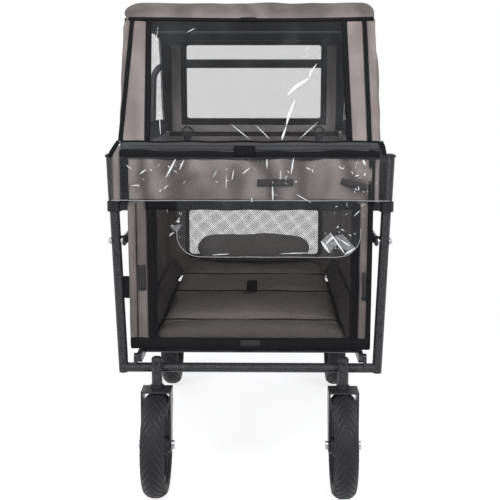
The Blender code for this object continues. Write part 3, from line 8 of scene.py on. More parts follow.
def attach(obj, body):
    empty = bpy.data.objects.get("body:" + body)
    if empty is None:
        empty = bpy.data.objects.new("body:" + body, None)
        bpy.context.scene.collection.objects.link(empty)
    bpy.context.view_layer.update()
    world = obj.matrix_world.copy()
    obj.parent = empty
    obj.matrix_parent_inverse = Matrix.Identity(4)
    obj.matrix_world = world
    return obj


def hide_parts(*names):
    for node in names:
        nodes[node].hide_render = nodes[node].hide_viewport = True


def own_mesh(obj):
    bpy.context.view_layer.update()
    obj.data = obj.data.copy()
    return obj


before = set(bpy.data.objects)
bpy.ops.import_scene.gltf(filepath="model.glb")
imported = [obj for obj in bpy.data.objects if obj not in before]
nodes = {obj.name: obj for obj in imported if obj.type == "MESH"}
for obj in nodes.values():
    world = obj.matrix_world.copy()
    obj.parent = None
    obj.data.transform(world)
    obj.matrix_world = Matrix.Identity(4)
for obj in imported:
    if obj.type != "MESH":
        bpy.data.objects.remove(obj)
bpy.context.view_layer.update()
print("frame loaded")


# Mesh helpers: everything is drawn in metres, in the frame's own place

def ripple(spot, scale, seed=0.0):
    return noise.noise(Vector(spot) * scale + Vector((seed, seed * 1.7, seed * 0.3)))


def drape(across, up, seed, size=0.003):
    # soft slanting folds, as in cloth pulled at its corners
    slow = ripple((across, 0, up), 6.0, seed)
    first = math.sin((across * 0.8 + up * 0.6) * 62 + slow * 6.0)
    second = math.sin((across * 0.5 - up * 0.9) * 48 + slow * 7.0 + seed)
    share = 0.5 + ripple((across, 0, up), 8.0, seed + 4.0)
    crossed = 0.6 * first * share + 0.5 * second * (1 - share)
    return size * (crossed + 0.35 * ripple((across, 0, up), 34.0, seed))


def smoothShare(value):
    value = min(1.0, max(0.0, value))
    return value * value * (3 - 2 * value)


def newPiece(name, bm, finishes, body, smooth=True):
    bmesh.ops.recalc_face_normals(bm, faces=bm.faces)
    mesh = bpy.data.meshes.new(name)
    bm.to_mesh(mesh)
    bm.free()
    if smooth:
        mesh.shade_smooth()
    piece = bpy.data.objects.new(name, mesh)
    bpy.context.scene.collection.objects.link(piece)
    for finish in finishes:
        mesh.materials.append(finish)
    if body:
        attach(piece, body)
    return piece


def thicken(piece, thick, lining=False, offset=0.0):
    step = piece.modifiers.new("cloth", "SOLIDIFY")
    step.thickness = thick
    step.offset = offset
    step.use_even_offset = True
    if lining:
        step.material_offset = 1
    return piece


def addGrid(bm, spotAt, columns, rows):
    grid = []
    for r in range(rows + 1):
        grid.append([bm.verts.new(spotAt(c / columns, r / rows)) for c in range(columns + 1)])
    for r in range(rows):
        for c in range(columns):
            bm.faces.new((grid[r][c], grid[r][c + 1], grid[r + 1][c + 1], grid[r + 1][c]))


def addSweep(bm, points, facing, section, closed=False, index=0):
    # section holds (across, rise) pairs in metres, carried along the line
    points = [Vector(point) for point in points]
    count = len(points)
    rings = []
    for k, point in enumerate(points):
        before = points[(k - 1) % count] if closed else points[max(k - 1, 0)]
        after = points[(k + 1) % count] if closed else points[min(k + 1, count - 1)]
        along = (after - before).normalized()
        up = Vector(facing(point) if callable(facing) else facing)
        up = (up - along * up.dot(along)).normalized()
        side = along.cross(up)
        rings.append([bm.verts.new(point + side * across + up * rise) for across, rise in section])
    size = len(section)
    pairs = list(zip(rings, rings[1:]))
    if closed:
        pairs.append((rings[-1], rings[0]))
    for here, there in pairs:
        for k in range(size):
            face = bm.faces.new((here[k], here[(k + 1) % size], there[(k + 1) % size], there[k]))
            face.material_index = index
    if not closed:
        for ring in (rings[0], rings[-1]):
            bm.faces.new(ring).material_index = index


def tapeSection(width, thick):
    half = width / 2
    return [(-half, 0), (-half * 0.85, thick * 0.8), (-half * 0.3, thick), (half * 0.3, thick),
            (half * 0.85, thick * 0.8), (half, 0), (half * 0.5, -thick * 0.2), (-half * 0.5, -thick * 0.2)]


def roundSection(radius, sides):
    turn = 2 * math.pi / sides
    return [(radius * math.cos(turn * k), radius * math.sin(turn * k)) for k in range(sides)]


def between(first, second, share):
    return first[0] + (second[0] - first[0]) * share, first[1] + (second[1] - first[1]) * share


def roundedLoop(left, foot, right, head, radius, alongX, alongZ, corner=4):
    middles = [(right - radius, foot + radius), (right - radius, head - radius),
               (left + radius, head - radius), (left + radius, foot + radius)]
    points = []
    for k, (x, z) in enumerate(middles):
        for step in range(corner + 1):
            angle = math.radians(-90 + 90 * k + 90 * step / corner)
            points.append((x + radius * math.cos(angle), z + radius * math.sin(angle)))
        nextX, nextZ = middles[(k + 1) % 4]
        angle = math.radians(90 * k)
        goal = (nextX + radius * math.cos(angle), nextZ + radius * math.sin(angle))
        start = points[-1]
        steps = alongZ if k in (0, 2) else alongX
        for step in range(1, steps):
            points.append(between(start, goal, step / steps))
    return points


def addFrame(bm, outer, inner, bands, spotAt):
    # cloth between two matching loops
    rings = []
    for band in range(bands + 1):
        pairs = [between(far, near, band / bands) for far, near in zip(outer, inner)]
        rings.append([bm.verts.new(spotAt(x, z)) for x, z in pairs])
    count = len(outer)
    for here, there in zip(rings, rings[1:]):
        for k in range(count):
            bm.faces.new((here[k], here[(k + 1) % count], there[(k + 1) % count], there[k]))


def lineBetween(start, end, steps):
    start, end = Vector(start), Vector(end)
    return [start.lerp(end, step / steps) for step in range(steps + 1)]


def addTape(bm, points, facing, width, thick, closed=False, index=0):
    addSweep(bm, points, facing, tapeSection(width, thick), closed, index)


def addStrip(bm, start, end, steps, facing, width, thick):
    # a straight length of tape
    addTape(bm, lineBetween(start, end, steps), facing, width, thick)


def smoothOnce(piece):
    step = piece.modifiers.new("smooth", "SUBSURF")
    step.levels = step.render_levels = 1


# Finishes

def startFinish(name, colour, roughness, metallic=0.0, gloss=0.25):
    made = bpy.data.materials.new(name)
    made.use_nodes = True
    tree = made.node_tree
    shader = tree.nodes["Principled BSDF"]
    shader.inputs["Base Color"].default_value = (*colour, 1.0)
    shader.inputs["Roughness"].default_value = roughness
    shader.inputs["Metallic"].default_value = metallic
    shader.inputs["Specular IOR Level"].default_value = gloss
    place = tree.nodes.new("ShaderNodeTexCoord")
    return made, tree, shader, place.outputs["Object"]


def wire(tree, kind, settings=None, **inputs):
    node = tree.nodes.new(kind)
    for key, value in (settings or {}).items():
        setattr(node, key, value)
    for key, value in inputs.items():
        socket = node.inputs[int(key[1:])] if key[0] == "i" and key[1:].isdigit() else node.inputs[key]
        if isinstance(value, bpy.types.NodeSocket):
            tree.links.new(value, socket)
        else:
            socket.default_value = value
    return node


def sums(tree, operation, first, second, third=None):
    node = wire(tree, "ShaderNodeMath", {"operation": operation}, i0=first, i1=second)
    if third is not None:
        if isinstance(third, bpy.types.NodeSocket):
            tree.links.new(third, node.inputs[2])
        else:
            node.inputs[2].default_value = third
    return node.outputs[0]


def noiseOf(tree, place, scale, detail=3.0):
    made = wire(tree, "ShaderNodeTexNoise", None, Vector=place, Scale=scale, Detail=detail, Roughness=0.55)
    return made.outputs["Fac"]


def rangeOf(tree, value, spans, settings=None):
    # spans holds the two ends that come in, then the two that go out
    node = wire(tree, "ShaderNodeMapRange", settings, Value=value)
    for key, amount in zip(("From Min", "From Max", "To Min", "To Max"), spans):
        node.inputs[key].default_value = amount
    return node.outputs["Result"]


def mixTones(tree, shader, amount, dark, pale):
    ramp = wire(tree, "ShaderNodeMix", {"data_type": "RGBA"})
    tree.links.new(amount, ramp.inputs[0])
    ramp.inputs[6].default_value = (*dark, 1.0)
    ramp.inputs[7].default_value = (*pale, 1.0)
    tree.links.new(ramp.outputs[2], shader.inputs["Base Color"])


def bumpFrom(tree, shader, height, strength, distance):
    bump = wire(tree, "ShaderNodeBump", None, Strength=strength, Distance=distance, Height=height)
    tree.links.new(bump.outputs["Normal"], shader.inputs["Normal"])


def weave(tree, place, pitch):
    # threads along each axis: two of the three show on any flat wall
    scale = 2 * math.pi / (20 * pitch)
    total = None
    for way in ("X", "Y", "Z"):
        wave = wire(tree, "ShaderNodeTexWave", {"bands_direction": way}, Vector=place, Scale=scale,
                    Distortion=0.6)
        total = wave.outputs["Fac"] if total is None else sums(tree, "ADD", total, wave.outputs["Fac"])
    return total


def clothFinish(name, dark, pale, pitch=0.0011, sheen=0.03, rough=0.9, strength=0.35, gloss=0.08,
                foldShade=0.0, shade=0.0):
    made, tree, shader, place = startFinish(name, pale, rough, 0.0, gloss)
    blotch = noiseOf(tree, place, 16.0, 4.0)
    if foldShade:
        # long slanting shadows where slack cloth lies in folds
        slant = wire(tree, "ShaderNodeMapping", None, Vector=place, Rotation=(0.0, 0.7, 0.0),
                     Scale=(1.0, 1.0, 0.42))
        wave = wire(tree, "ShaderNodeTexWave", {"wave_profile": "SIN"}, Vector=slant.outputs["Vector"],
                    Scale=3.6, Distortion=13.0, Detail=3.0)
        wave.inputs["Detail Scale"].default_value = 1.7
        plain = sums(tree, "MULTIPLY", blotch, 1 - foldShade)
        blotch = sums(tree, "MULTIPLY_ADD", wave.outputs["Fac"], foldShade, plain)
    fine = noiseOf(tree, place, 420.0, 2.0)
    threads = weave(tree, place, pitch)
    tone = sums(tree, "MULTIPLY_ADD", blotch, 0.75, sums(tree, "MULTIPLY", fine, 0.35))
    if shade:
        # painted shade: the cloth is a little darker over the roof
        high = wire(tree, "ShaderNodeSeparateXYZ", None, Vector=place).outputs["Z"]
        dim = rangeOf(tree, high, (0.955, 0.985, 0.0, shade), {"interpolation_type": "SMOOTHSTEP"})
        tone = sums(tree, "SUBTRACT", tone, dim)
    mixTones(tree, shader, tone, dark, pale)
    crumple = noiseOf(tree, place, 38.0, 3.0)
    height = sums(tree, "MULTIPLY_ADD", threads, 0.22, sums(tree, "MULTIPLY", crumple, 2.2))
    if foldShade:
        height = sums(tree, "MULTIPLY_ADD", wave.outputs["Fac"], 5.0, height)
    bumpFrom(tree, shader, height, strength, 0.0012)
    shader.inputs["Sheen Weight"].default_value = sheen
    shader.inputs["Sheen Roughness"].default_value = 0.5
    return made


def netFinish(name, colour, pitch, solid):
    # diamond holes: the thread stays where either slanted wave is low
    made, tree, shader, place = startFinish(name, colour, 0.8)
    split = wire(tree, "ShaderNodeSeparateXYZ", None, Vector=place).outputs
    flat = sums(tree, "ADD", split["X"], split["Y"])
    turn = 2 * math.pi / pitch
    waves = []
    for way in ("ADD", "SUBTRACT"):
        slant = sums(tree, "MULTIPLY", sums(tree, way, flat, split["Z"]), turn * 0.7071)
        waves.append(sums(tree, "SINE", slant, 0.0))
    product = sums(tree, "MULTIPLY", *waves)
    hole = sums(tree, "GREATER_THAN", sums(tree, "ABSOLUTE", product, 0.0), solid)
    cover = sums(tree, "SUBTRACT", 1.0, hole)
    tree.links.new(cover, shader.inputs["Alpha"])
    bumpFrom(tree, shader, product, 0.3, 0.0004)
    return made


def filmFinish(name, low, high, tint, hazeAndReflection=0.10):
    made, tree, shader, place = startFinish(name, tint, 0.07)
    glance = wire(tree, "ShaderNodeLayerWeight", None, Blend=0.35).outputs["Facing"]
    long = wire(tree, "ShaderNodeMapping", None, Vector=place, Scale=(2.2, 1.0, 0.5)).outputs["Vector"]
    # painted reflection and haze: stretched noise makes the film whiter in streaks
    smearAndReflection = sums(tree, "MULTIPLY", sums(tree, "POWER", noiseOf(tree, long, 11.0, 4.0), 4.0), hazeAndReflection)
    clear = sums(tree, "MULTIPLY_ADD", sums(tree, "POWER", glance, 3.0), high - low, low)
    tree.links.new(sums(tree, "ADD", clear, smearAndReflection), shader.inputs["Alpha"])
    waves = noiseOf(tree, place, 14.0, 2.0)
    bumpFrom(tree, shader, waves, 0.5, 0.012)
    shader.inputs["Coat Weight"].default_value = 0.6
    shader.inputs["Coat Roughness"].default_value = 0.04
    return made


def paintFinish():
    # hammered powder coat: pale flecks on dark grey
    made, tree, shader, place = startFinish("hammeredPaint", (0.045, 0.045, 0.05), 0.4, 0.25)
    cells = wire(tree, "ShaderNodeTexVoronoi", None, Vector=place, Scale=330.0).outputs["Distance"]
    grain = noiseOf(tree, place, 520.0, 2.0)
    fleck = sums(tree, "POWER", sums(tree, "SUBTRACT", 1.0, cells), 2.2)
    tone = sums(tree, "MULTIPLY", fleck, sums(tree, "MULTIPLY_ADD", grain, 1.3, 0.0))
    mixTones(tree, shader, tone, (0.012, 0.012, 0.014), (0.13, 0.13, 0.142))
    bumpFrom(tree, shader, cells, 0.5, 0.0006)
    shader.inputs["Coat Weight"].default_value = 0.3
    shader.inputs["Coat Roughness"].default_value = 0.2
    return made


def mouldedFinish(name, dark, pale, rough, scale=260.0, strength=0.15):
    made, tree, shader, place = startFinish(name, dark, rough)
    grain = noiseOf(tree, place, scale, 3.0)
    wear = noiseOf(tree, place, 22.0, 4.0)
    fine = sums(tree, "MULTIPLY", grain, 0.3)
    mixTones(tree, shader, sums(tree, "MULTIPLY_ADD", wear, 0.7, fine), dark, pale)
    bumpFrom(tree, shader, grain, strength, 0.0005)
    return made


def steelFinish():
    made, tree, shader, place = startFinish("zincSteel", (0.55, 0.55, 0.57), 0.3, 1.0)
    brushed = noiseOf(tree, place, 180.0, 3.0)
    mixTones(tree, shader, brushed, (0.36, 0.36, 0.38), (0.7, 0.7, 0.72))
    bumpFrom(tree, shader, brushed, 0.1, 0.0004)
    return made


tones = {
    "taupeDark": (0.135, 0.114, 0.107), "taupePale": (0.390, 0.336, 0.320),
    "litInnerTaupeDark": (0.270, 0.232, 0.222), "litInnerTaupePale": (0.560, 0.490, 0.470),
    "shadedPanelDark": (0.085, 0.071, 0.066), "shadedPanelPale": (0.290, 0.248, 0.235),
    "shadedRollDark": (0.060, 0.050, 0.046), "shadedRollPale": (0.330, 0.285, 0.270),
    "darkGreyLow": (0.020, 0.020, 0.022), "darkGreyHigh": (0.062, 0.060, 0.064),
    "shadedInnerDark": (0.075, 0.067, 0.062), "shadedInnerPale": (0.170, 0.152, 0.142),
    "tapeDark": (0.003, 0.003, 0.004), "tapePale": (0.013, 0.013, 0.015),
    "padDark": (0.193, 0.174, 0.156), "padPale": (0.352, 0.319, 0.288),
    "zipDark": (0.050, 0.051, 0.056), "zipPale": (0.095, 0.097, 0.105),
}
taupe = clothFinish("taupeCloth", tones["taupeDark"], tones["taupePale"], foldShade=0.35)
# painted shade: a copy of the taupe that darkens over the roof's top
roofCloth = clothFinish("roofCloth", tones["taupeDark"], tones["taupePale"], foldShade=0.35, shade=0.38)
# painted light: a paler copy of the taupe for the inside of the hood's back wall
innerTaupe = clothFinish("innerTaupe", tones["litInnerTaupeDark"], tones["litInnerTaupePale"], foldShade=0.3)
# painted shade: a darker copy of the taupe, with strong painted fold shadows, for the rolled door cloth
rollCloth = clothFinish("rollCloth", tones["shadedRollDark"], tones["shadedRollPale"], strength=0.8, foldShade=0.85)
# painted shade: a darker copy of the taupe for the upright front wall
panelCloth = clothFinish("panelCloth", tones["shadedPanelDark"], tones["shadedPanelPale"], foldShade=0.45)
# dark grey cloth for the inside faces of the hood's roof and cheeks, and for small patches and tabs
lining = clothFinish("darkLining", tones["darkGreyLow"], tones["darkGreyHigh"])
# painted shade: a dark copy of the taupe for the cloth in the gaps beside the pads
innerCloth = clothFinish("innerCloth", tones["shadedInnerDark"], tones["shadedInnerPale"])
blackTape = clothFinish("blackTape", tones["tapeDark"], tones["tapePale"], 0.0016, 0.0, 0.75, 0.5, 0.12)
zipTape = clothFinish("zipTape", tones["zipDark"], tones["zipPale"], 0.0016, 0.0, 0.75, 0.5, 0.2)
# painted shade: a darker copy of the pad cloth for the front pad alone
frontPadCloth = clothFinish("frontPadCloth", (0.104, 0.094, 0.084), (0.204, 0.185, 0.167),
                            0.0022, 0.05, 0.92, 0.5)
padCloth = clothFinish("padCloth", tones["padDark"], tones["padPale"], 0.0022, 0.05, 0.92, 0.5)
doorNet = netFinish("doorNet", (0.012, 0.012, 0.013), 0.0056, 0.17)
backNet = netFinish("backNet", (0.015, 0.015, 0.017), 0.0088, 0.24)
sideNet = netFinish("sideNet", (0.02, 0.02, 0.022), 0.0046, 0.25)
clearFilm = filmFinish("clearFilm", 0.02, 0.5, (0.86, 0.88, 0.9))
hazyFilm = filmFinish("hazyFilm", 0.16, 0.6, (0.86, 0.88, 0.9), 1.2)
# painted highlight: pale grey for the cut edges of the clear film
filmEdge = mouldedFinish("filmEdge", (0.30, 0.31, 0.32), (0.5, 0.51, 0.53), 0.15, 90.0, 0.05)
# painted highlight: white for the glints along creases in the clear film
creaseWhite = mouldedFinish("creaseWhite", (0.8, 0.81, 0.82), (0.95, 0.95, 0.96), 0.15, 90.0, 0.05)
hammered = paintFinish()
blackMoulding = mouldedFinish("blackMoulding", (0.008, 0.008, 0.009), (0.022, 0.022, 0.025), 0.42)
rimMoulding = mouldedFinish("rimMoulding", (0.014, 0.014, 0.016), (0.036, 0.036, 0.041), 0.38, 200.0, 0.2)
tyreRubber = mouldedFinish("tyreRubber", (0.009, 0.009, 0.010), (0.026, 0.026, 0.029), 0.62, 300.0, 0.35)
treadRubber = mouldedFinish("treadRubber", (0.016, 0.016, 0.018), (0.050, 0.050, 0.054), 0.42, 300.0, 0.2)
gripFoam = mouldedFinish("gripFoam", (0.010, 0.010, 0.011), (0.024, 0.024, 0.027), 0.9, 700.0, 0.5)
boardCloth = clothFinish("boardCloth", (0.015, 0.014, 0.013), (0.04, 0.037, 0.034))
zincSteel = steelFinish()
print("finishes made")


# Carried-over CAD nodes

nodeFinishes = {
    "upright": hammered, "crossbar": hammered, "fork": hammered, "floor_frame": hammered,
    "upper_rail": hammered, "push_handle": hammered, "brake_bar": hammered, "tyre": tyreRubber,
    "rim": rimMoulding, "axle": zincSteel, "bolt": zincSteel, "cap": blackMoulding,
    "collar": blackMoulding, "hub": blackMoulding, "button": blackMoulding, "grip": gripFoam,
    "board": boardCloth, "bow": blackMoulding,
}
for nodeName, node in nodes.items():
    for word, finish in nodeFinishes.items():
        if word in nodeName:
            for slotOfNode in node.material_slots:
                slotOfNode.material = finish
print("frame finished")


# The tub: front wall with its zipped net door

tub = {"frontHalf": 0.2445, "rearHalf": 0.234, "foot": 0.300, "top": 0.700, "frontY": -0.3465,
       "rearY": 0.3875, "sideFront": -0.3430, "sideLength": 0.727, "edge": 0.006,
       "doorLeft": -0.207, "doorRight": 0.219, "doorSill": 0.314, "doorHead": 0.602, "corner": 0.010}
frontFace = (0, -1, 0)


def declareCloth(piece):
    return piece


def makeFrontWall():
    outer = roundedLoop(-tub["frontHalf"], tub["foot"], tub["frontHalf"], tub["top"], tub["edge"], 40, 60)
    inner = roundedLoop(tub["doorLeft"], tub["doorSill"], tub["doorRight"], tub["doorHead"],
                        tub["corner"], 40, 60)

    def spotAt(x, z):
        edge = smoothShare((abs(x) - tub["doorRight"] + 0.012) / 0.014)
        edge *= smoothShare((tub["frontHalf"] - abs(x)) / 0.006)
        return Vector((x, tub["frontY"] + drape(x * 1.4, z * 1.5, 2.0, 0.0034) * max(0.25, edge), z))

    bm = bmesh.new()
    addFrame(bm, outer, inner, 12, spotAt)
    wall = newPiece("frontWall", bm, [panelCloth], "front_frame")
    thicken(wall, 0.0018)
    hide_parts("tub_front_panel")
    declareCloth(wall)

    def netSpot(u, v):
        bulge = 0.003 * math.sin(math.pi * u) * math.sin(math.pi * v)
        y = tub["frontY"] + bulge + ripple((u, 0, v), 6.0, 1.0) * 0.001
        return Vector((-0.205 + 0.422 * u, y, 0.312 + 0.288 * v))

    bm = bmesh.new()
    addGrid(bm, netSpot, 30, 20)
    door = newPiece("doorNet", bm, [doorNet], "front_frame")
    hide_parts("front_mesh")
    declareCloth(door)


# each zip runs once round the door: left, sill, right and head
zips = {"faceY": -0.3487, "wide": 0.0062, "thick": 0.0024, "corner": 0.010,
        "runs": [(-0.2035, 0.3165, 0.2165, 0.6010), (-0.1965, 0.3185, 0.2105, 0.5990),
                 (-0.1900, 0.3205, 0.2050, 0.5970)],
        "teeth": (-0.1932, 0.3195, 0.2078, 0.598), "toothHalf": 0.0014}


def makeDoorZips():
    bm = bmesh.new()
    for run in zips["runs"]:
        loop = roundedLoop(*run, zips["corner"], 30, 40, 6)
        points = [Vector((x + ripple((x, 0, z), 20.0, run[0]) * 0.0012, zips["faceY"], z)) for x, z in loop]
        addTape(bm, points, frontFace, zips["wide"], zips["thick"], closed=True)
    newPiece("doorZips", bm, [blackTape], "front_frame")
    bm = bmesh.new()
    teeth = roundedLoop(*zips["teeth"], zips["corner"], 110, 70, 12)
    points = [Vector((x, zips["faceY"] - 0.0004, z)) for x, z in teeth]
    for k in range(0, len(points), 2):
        along = (points[(k + 1) % len(points)] - points[k - 1]).normalized()
        reach = along.cross(Vector(frontFace)) * zips["toothHalf"]
        addTape(bm, [points[k] - reach, points[k] + reach], frontFace, 0.0018, 0.0012)
    newPiece("doorZipTeeth", bm, [blackMoulding], "front_frame")


# each strip and patch: start, end, width and thickness
frontStrips = [((0.2395, -0.3500, 0.302), (0.2395, -0.3500, 0.62), 30, 0.0105, 0.003),
               ((-0.2285, -0.3497, 0.312), (-0.2275, -0.3497, 0.6), 24, 0.0022, 0.0012)]
frontPatches = [((-0.0205, -0.3528, 0.3125), (0.0205, -0.3528, 0.3125), 6, 0.013, 0.0016),
                ((-0.2175, -0.3490, 0.4231), (-0.2185, -0.3490, 0.4746), 6, 0.0155, 0.0022),
                ((0.2305, -0.3490, 0.4024), (0.2305, -0.3490, 0.4602), 6, 0.0105, 0.0022)]
# each loop: side, foot, head, inner and outer reach
postLoops = [(-1, 0.405, 0.449, 0.2400, 0.2585), (-1, 0.5205, 0.5325, 0.2420, 0.2600),
             (1, 0.5205, 0.5325, 0.2420, 0.2600)]


def makeFrontBindings():
    bm = bmesh.new()
    foot = [Vector((-0.243 + 0.486 * k / 40, -0.3492, 0.3115 - 0.0045 * math.sin(math.pi * k / 40)
                    + 0.0012 * math.sin(k * 0.9))) for k in range(41)]
    addTape(bm, foot, frontFace, 0.0235, 0.0035)
    for start, end, steps, width, thick in frontStrips:
        addStrip(bm, start, end, steps, frontFace, width, thick)
    head = [Vector((-0.2085 + 0.417 * k / 40, -0.3494, 0.5965 + 0.0008 * math.sin(k * 0.7)))
            for k in range(41)]
    addTape(bm, head, frontFace, 0.0215, 0.0026)
    newPiece("frontBindings", bm, [blackTape], "front_frame")
    bm = bmesh.new()
    for start, end, steps, width, thick in frontPatches:
        addStrip(bm, start, end, steps, frontFace, width, thick)
    newPiece("frontPatches", bm, [lining], "front_frame")
    # webbing loops hold the tub to the posts
    bm = bmesh.new()
    for side, low, high, inner, outer in postLoops:
        half = (high - low) / 2
        line = [(inner, -0.3452), (inner + 0.006, -0.3462), (outer - 0.004, -0.3440), (outer, -0.3400),
                (outer - 0.004, -0.3375), (inner + 0.004, -0.3385)]
        points = [Vector((side * x, y, (low + high) / 2)) for x, y in line]
        addSweep(bm, points, (0, 0, 1), [(-0.0009, -half), (0.0009, -half), (0.0009, half), (-0.0009, half)])
    newPiece("postLoops", bm, [blackTape], "front_frame", smooth=False)


corners = {"top": 0.722, "foot": 0.603, "y": -0.3556, "elasticTop": 0.702, "elasticFoot": 0.604, "puffs": 74}


def makeCorners():
    # gathered elastic and cloth strips close the gap between the tub and its posts
    bm = bmesh.new()
    for low, high in ((-0.2715, -0.2555), (0.2425, 0.2590)):
        def spotAt(u, v):
            z = corners["foot"] + (corners["top"] - 0.008 - corners["foot"]) * v
            taper = smoothShare((corners["top"] - z) / 0.03) if low < 0 else 1.0
            inner, outer = (high, low) if low < 0 else (low, high)
            x = inner + (outer - inner) * u * (0.25 + 0.75 * taper)
            y = corners["y"] + 0.0052 - 0.0035 * math.sin(math.pi * u) + drape(x * 2, z, 5.0, 0.0012)
            return Vector((x, y, z))
        addGrid(bm, spotAt, 8, 40)
    strips = newPiece("cornerStrips", bm, [taupe], "front_frame")
    thicken(strips, 0.001)
    bm = bmesh.new()
    tall = corners["elasticTop"] - corners["elasticFoot"]
    for x in (-0.2508, 0.2395):
        for k in range(corners["puffs"]):
            z = corners["elasticTop"] - tall * k / corners["puffs"]
            y = corners["y"] + 0.001 - (0.0008 + 0.0013 * abs(math.sin(math.pi * k / 2)))
            size = 0.0060 + 0.0005 * math.sin(k * 1.3)
            line = [Vector((x - size, y, z)), Vector((x + size, y, z))]
            addSweep(bm, line, frontFace, [(-0.0008, 0), (0, 0.0009), (0.0008, 0), (0, -0.0006)])
    newPiece("cornerElastic", bm, [blackTape], "front_frame")
    bm = bmesh.new()
    for x, width in ((-0.2482, 0.0165), (0.2395, 0.0125)):
        y = corners["y"] + 0.0022
        addStrip(bm, (x, y, 0.705), (x, y, 0.602), 12, frontFace, width, 0.0022)
    edgeLeft = [(-0.2580, 0.7225), (-0.2650, 0.7130), (-0.2735, 0.7000), (-0.2765, 0.6930)]
    edgeRight = [(0.2550, 0.7225), (0.2600, 0.7120), (0.2625, 0.7000), (0.2595, 0.6700), (0.2592, 0.6400),
                 (0.2596, 0.6080)]
    for edge, y, width in ((edgeLeft, -0.3530, 0.0085), (edgeRight, -0.3560, 0.0098)):
        addTape(bm, [Vector((x, y, z)) for x, z in edge], frontFace, width, 0.0022)
    newPiece("cornerTapes", bm, [blackTape], "front_frame")


makeFrontWall()
makeDoorZips()
makeFrontBindings()
makeCorners()
print("front wall made")


# Rolled door cloth under the clear flap

roll = {"half": 0.240, "top": 0.695, "foot": 0.607, "seat": -0.3500, "depth": 0.0095, "limit": -0.3612,
        "tabs": [((0.0140, -0.3622, 0.6420), (0.0850, -0.3622, 0.6432), 0.0135),
                 ((0.1790, -0.3622, 0.6455), (0.2290, -0.3622, 0.6335), 0.0125)]}


def makeDoorRoll():
    def spotAt(u, v):
        # slack cloth: broad slanting folds with sharper creases between them
        x = -roll["half"] + 2 * roll["half"] * u
        z = roll["top"] + (roll["foot"] - roll["top"]) * v
        warp = ripple((x, 0, z), 7.0, 4.0)
        slant = (x * 0.62 + z * 1.1) * 46 + warp * 9.0
        other = (x * 1.1 - z * 0.9) * 40 + ripple((x, 0, z), 9.0, 11.0) * 8.0
        fold = 0.55 * (1 - abs(math.sin(slant * 0.5))) + 0.45 * (0.5 + 0.5 * math.sin(other))
        slack = ripple((x, 0, z), 24.0, 7.0) * 0.35
        body = 0.25 + 0.75 * math.sin(math.pi * min(1.0, 0.08 + v * 0.9)) ** 0.6
        y = roll["seat"] - 0.0014 - roll["depth"] * (0.15 + 0.8 * fold + slack) * body
        return Vector((x, max(roll["limit"], min(roll["seat"], y)), z + warp * 0.002 * v))

    bm = bmesh.new()
    addGrid(bm, spotAt, 160, 40)
    cloth = newPiece("doorRoll", bm, [rollCloth], "front_frame")
    thicken(cloth, 0.0009)
    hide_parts("door_roll")
    declareCloth(cloth)
    bm = bmesh.new()
    for start, end, width in roll["tabs"]:
        addStrip(bm, start, end, 10, frontFace, width, 0.0012)
    newPiece("rollTabs", bm, [lining], "front_frame")


makeDoorRoll()
print("door roll made")


# Clear rain flap: a wide band over the posts with a narrower rounded tail

flap = {"half": 0.274, "top": 0.716, "band": 0.607, "foot": 0.494, "left": -0.145, "right": 0.219,
        "corner": 0.045, "hang": -0.3652, "seat": -0.3545, "wave": 0.0022}


def flapY(x, z):
    share = smoothShare((0.7 - z) / 0.02)
    drop = min(1.0, max(0.0, (0.69 - z) / 0.05))
    wave = flap["wave"] * drop * (math.sin(x * 42.0) * 0.6 + ripple((x, 0, z), 18.0, 3.0) * 1.4)
    return flap["seat"] + (flap["hang"] - flap["seat"]) * share + wave - 0.0006


def tailEdges(z):
    shrink = 0.0
    low = flap["foot"]
    if z < low + flap["corner"]:
        rise = low + flap["corner"] - z
        shrink = flap["corner"] - math.sqrt(max(0.0, flap["corner"] ** 2 - rise * rise))
    return flap["left"] + shrink, flap["right"] - shrink


# painted glints along creases in the flap: points and width of each
flapGlints = [
    ([(-0.1457, 0.6879), (-0.1547, 0.6712), (-0.1648, 0.6526)], 0.0052),
    ([(-0.1296, 0.6869), (-0.1381, 0.6673)], 0.0034),
    ([(-0.2037, 0.6683), (-0.2156, 0.6595)], 0.0036), ([(-0.2338, 0.6359), (-0.2171, 0.6378)], 0.0024),
    ([(-0.0457, 0.6575), (-0.0472, 0.6299)], 0.0018), ([(0.0, 0.6722), (-0.0147, 0.6595)], 0.0032),
    ([(-0.0319, 0.6673), (-0.0353, 0.6477)], 0.0026), ([(0.0332, 0.6889), (0.0333, 0.6693)], 0.0034),
    ([(0.0854, 0.6908), (0.0804, 0.6595)], 0.0038), ([(0.0607, 0.6673), (0.0589, 0.6477)], 0.0022),
    ([(0.0442, 0.6359), (0.0453, 0.6062)], 0.004), ([(0.0033, 0.6131), (0.0039, 0.6032)], 0.003),
    ([(0.0905, 0.6201), (0.1044, 0.6121), (0.1202, 0.6032)], 0.0024),
    ([(0.2209, 0.6869), (0.2251, 0.6771)], 0.005),
    ([(0.2059, 0.6555), (0.2137, 0.6575)], 0.0036), ([(-0.0726, 0.6516), (-0.0646, 0.6673)], 0.0018),
    ([(0.1409, 0.5262), (0.149, 0.5162), (0.1571, 0.503)], 0.0075),
    ([(0.1585, 0.5433), (0.1748, 0.5202), (0.1891, 0.5)], 0.0045),
    ([(0.1891, 0.5), (0.1989, 0.5061), (0.2087, 0.5131)], 0.0055),
    ([(-0.0756, 0.498), (-0.0398, 0.5006)], 0.002),
    ([(0.0597, 0.5006), (0.1194, 0.503)], 0.0022), ([(0.2055, 0.5763), (0.2171, 0.5883)], 0.0022),
    ([(0.1646, 0.5363), (0.1509, 0.5202)], 0.005), ([(0.1806, 0.5283), (0.1987, 0.5162)], 0.0042),
]


# where the film lies folded on itself, drawn whiter: the double film with painted reflection
flapPatches = [
    [(0.1409, 0.5262), (0.1585, 0.5433), (0.1748, 0.5202), (0.1571, 0.503)],
    [(0.1646, 0.5363), (0.1830, 0.5400), (0.2087, 0.5131), (0.1989, 0.5061), (0.1780, 0.5120)],
    [(-0.1590, 0.5560), (-0.1340, 0.5600), (-0.1450, 0.5430)],
]


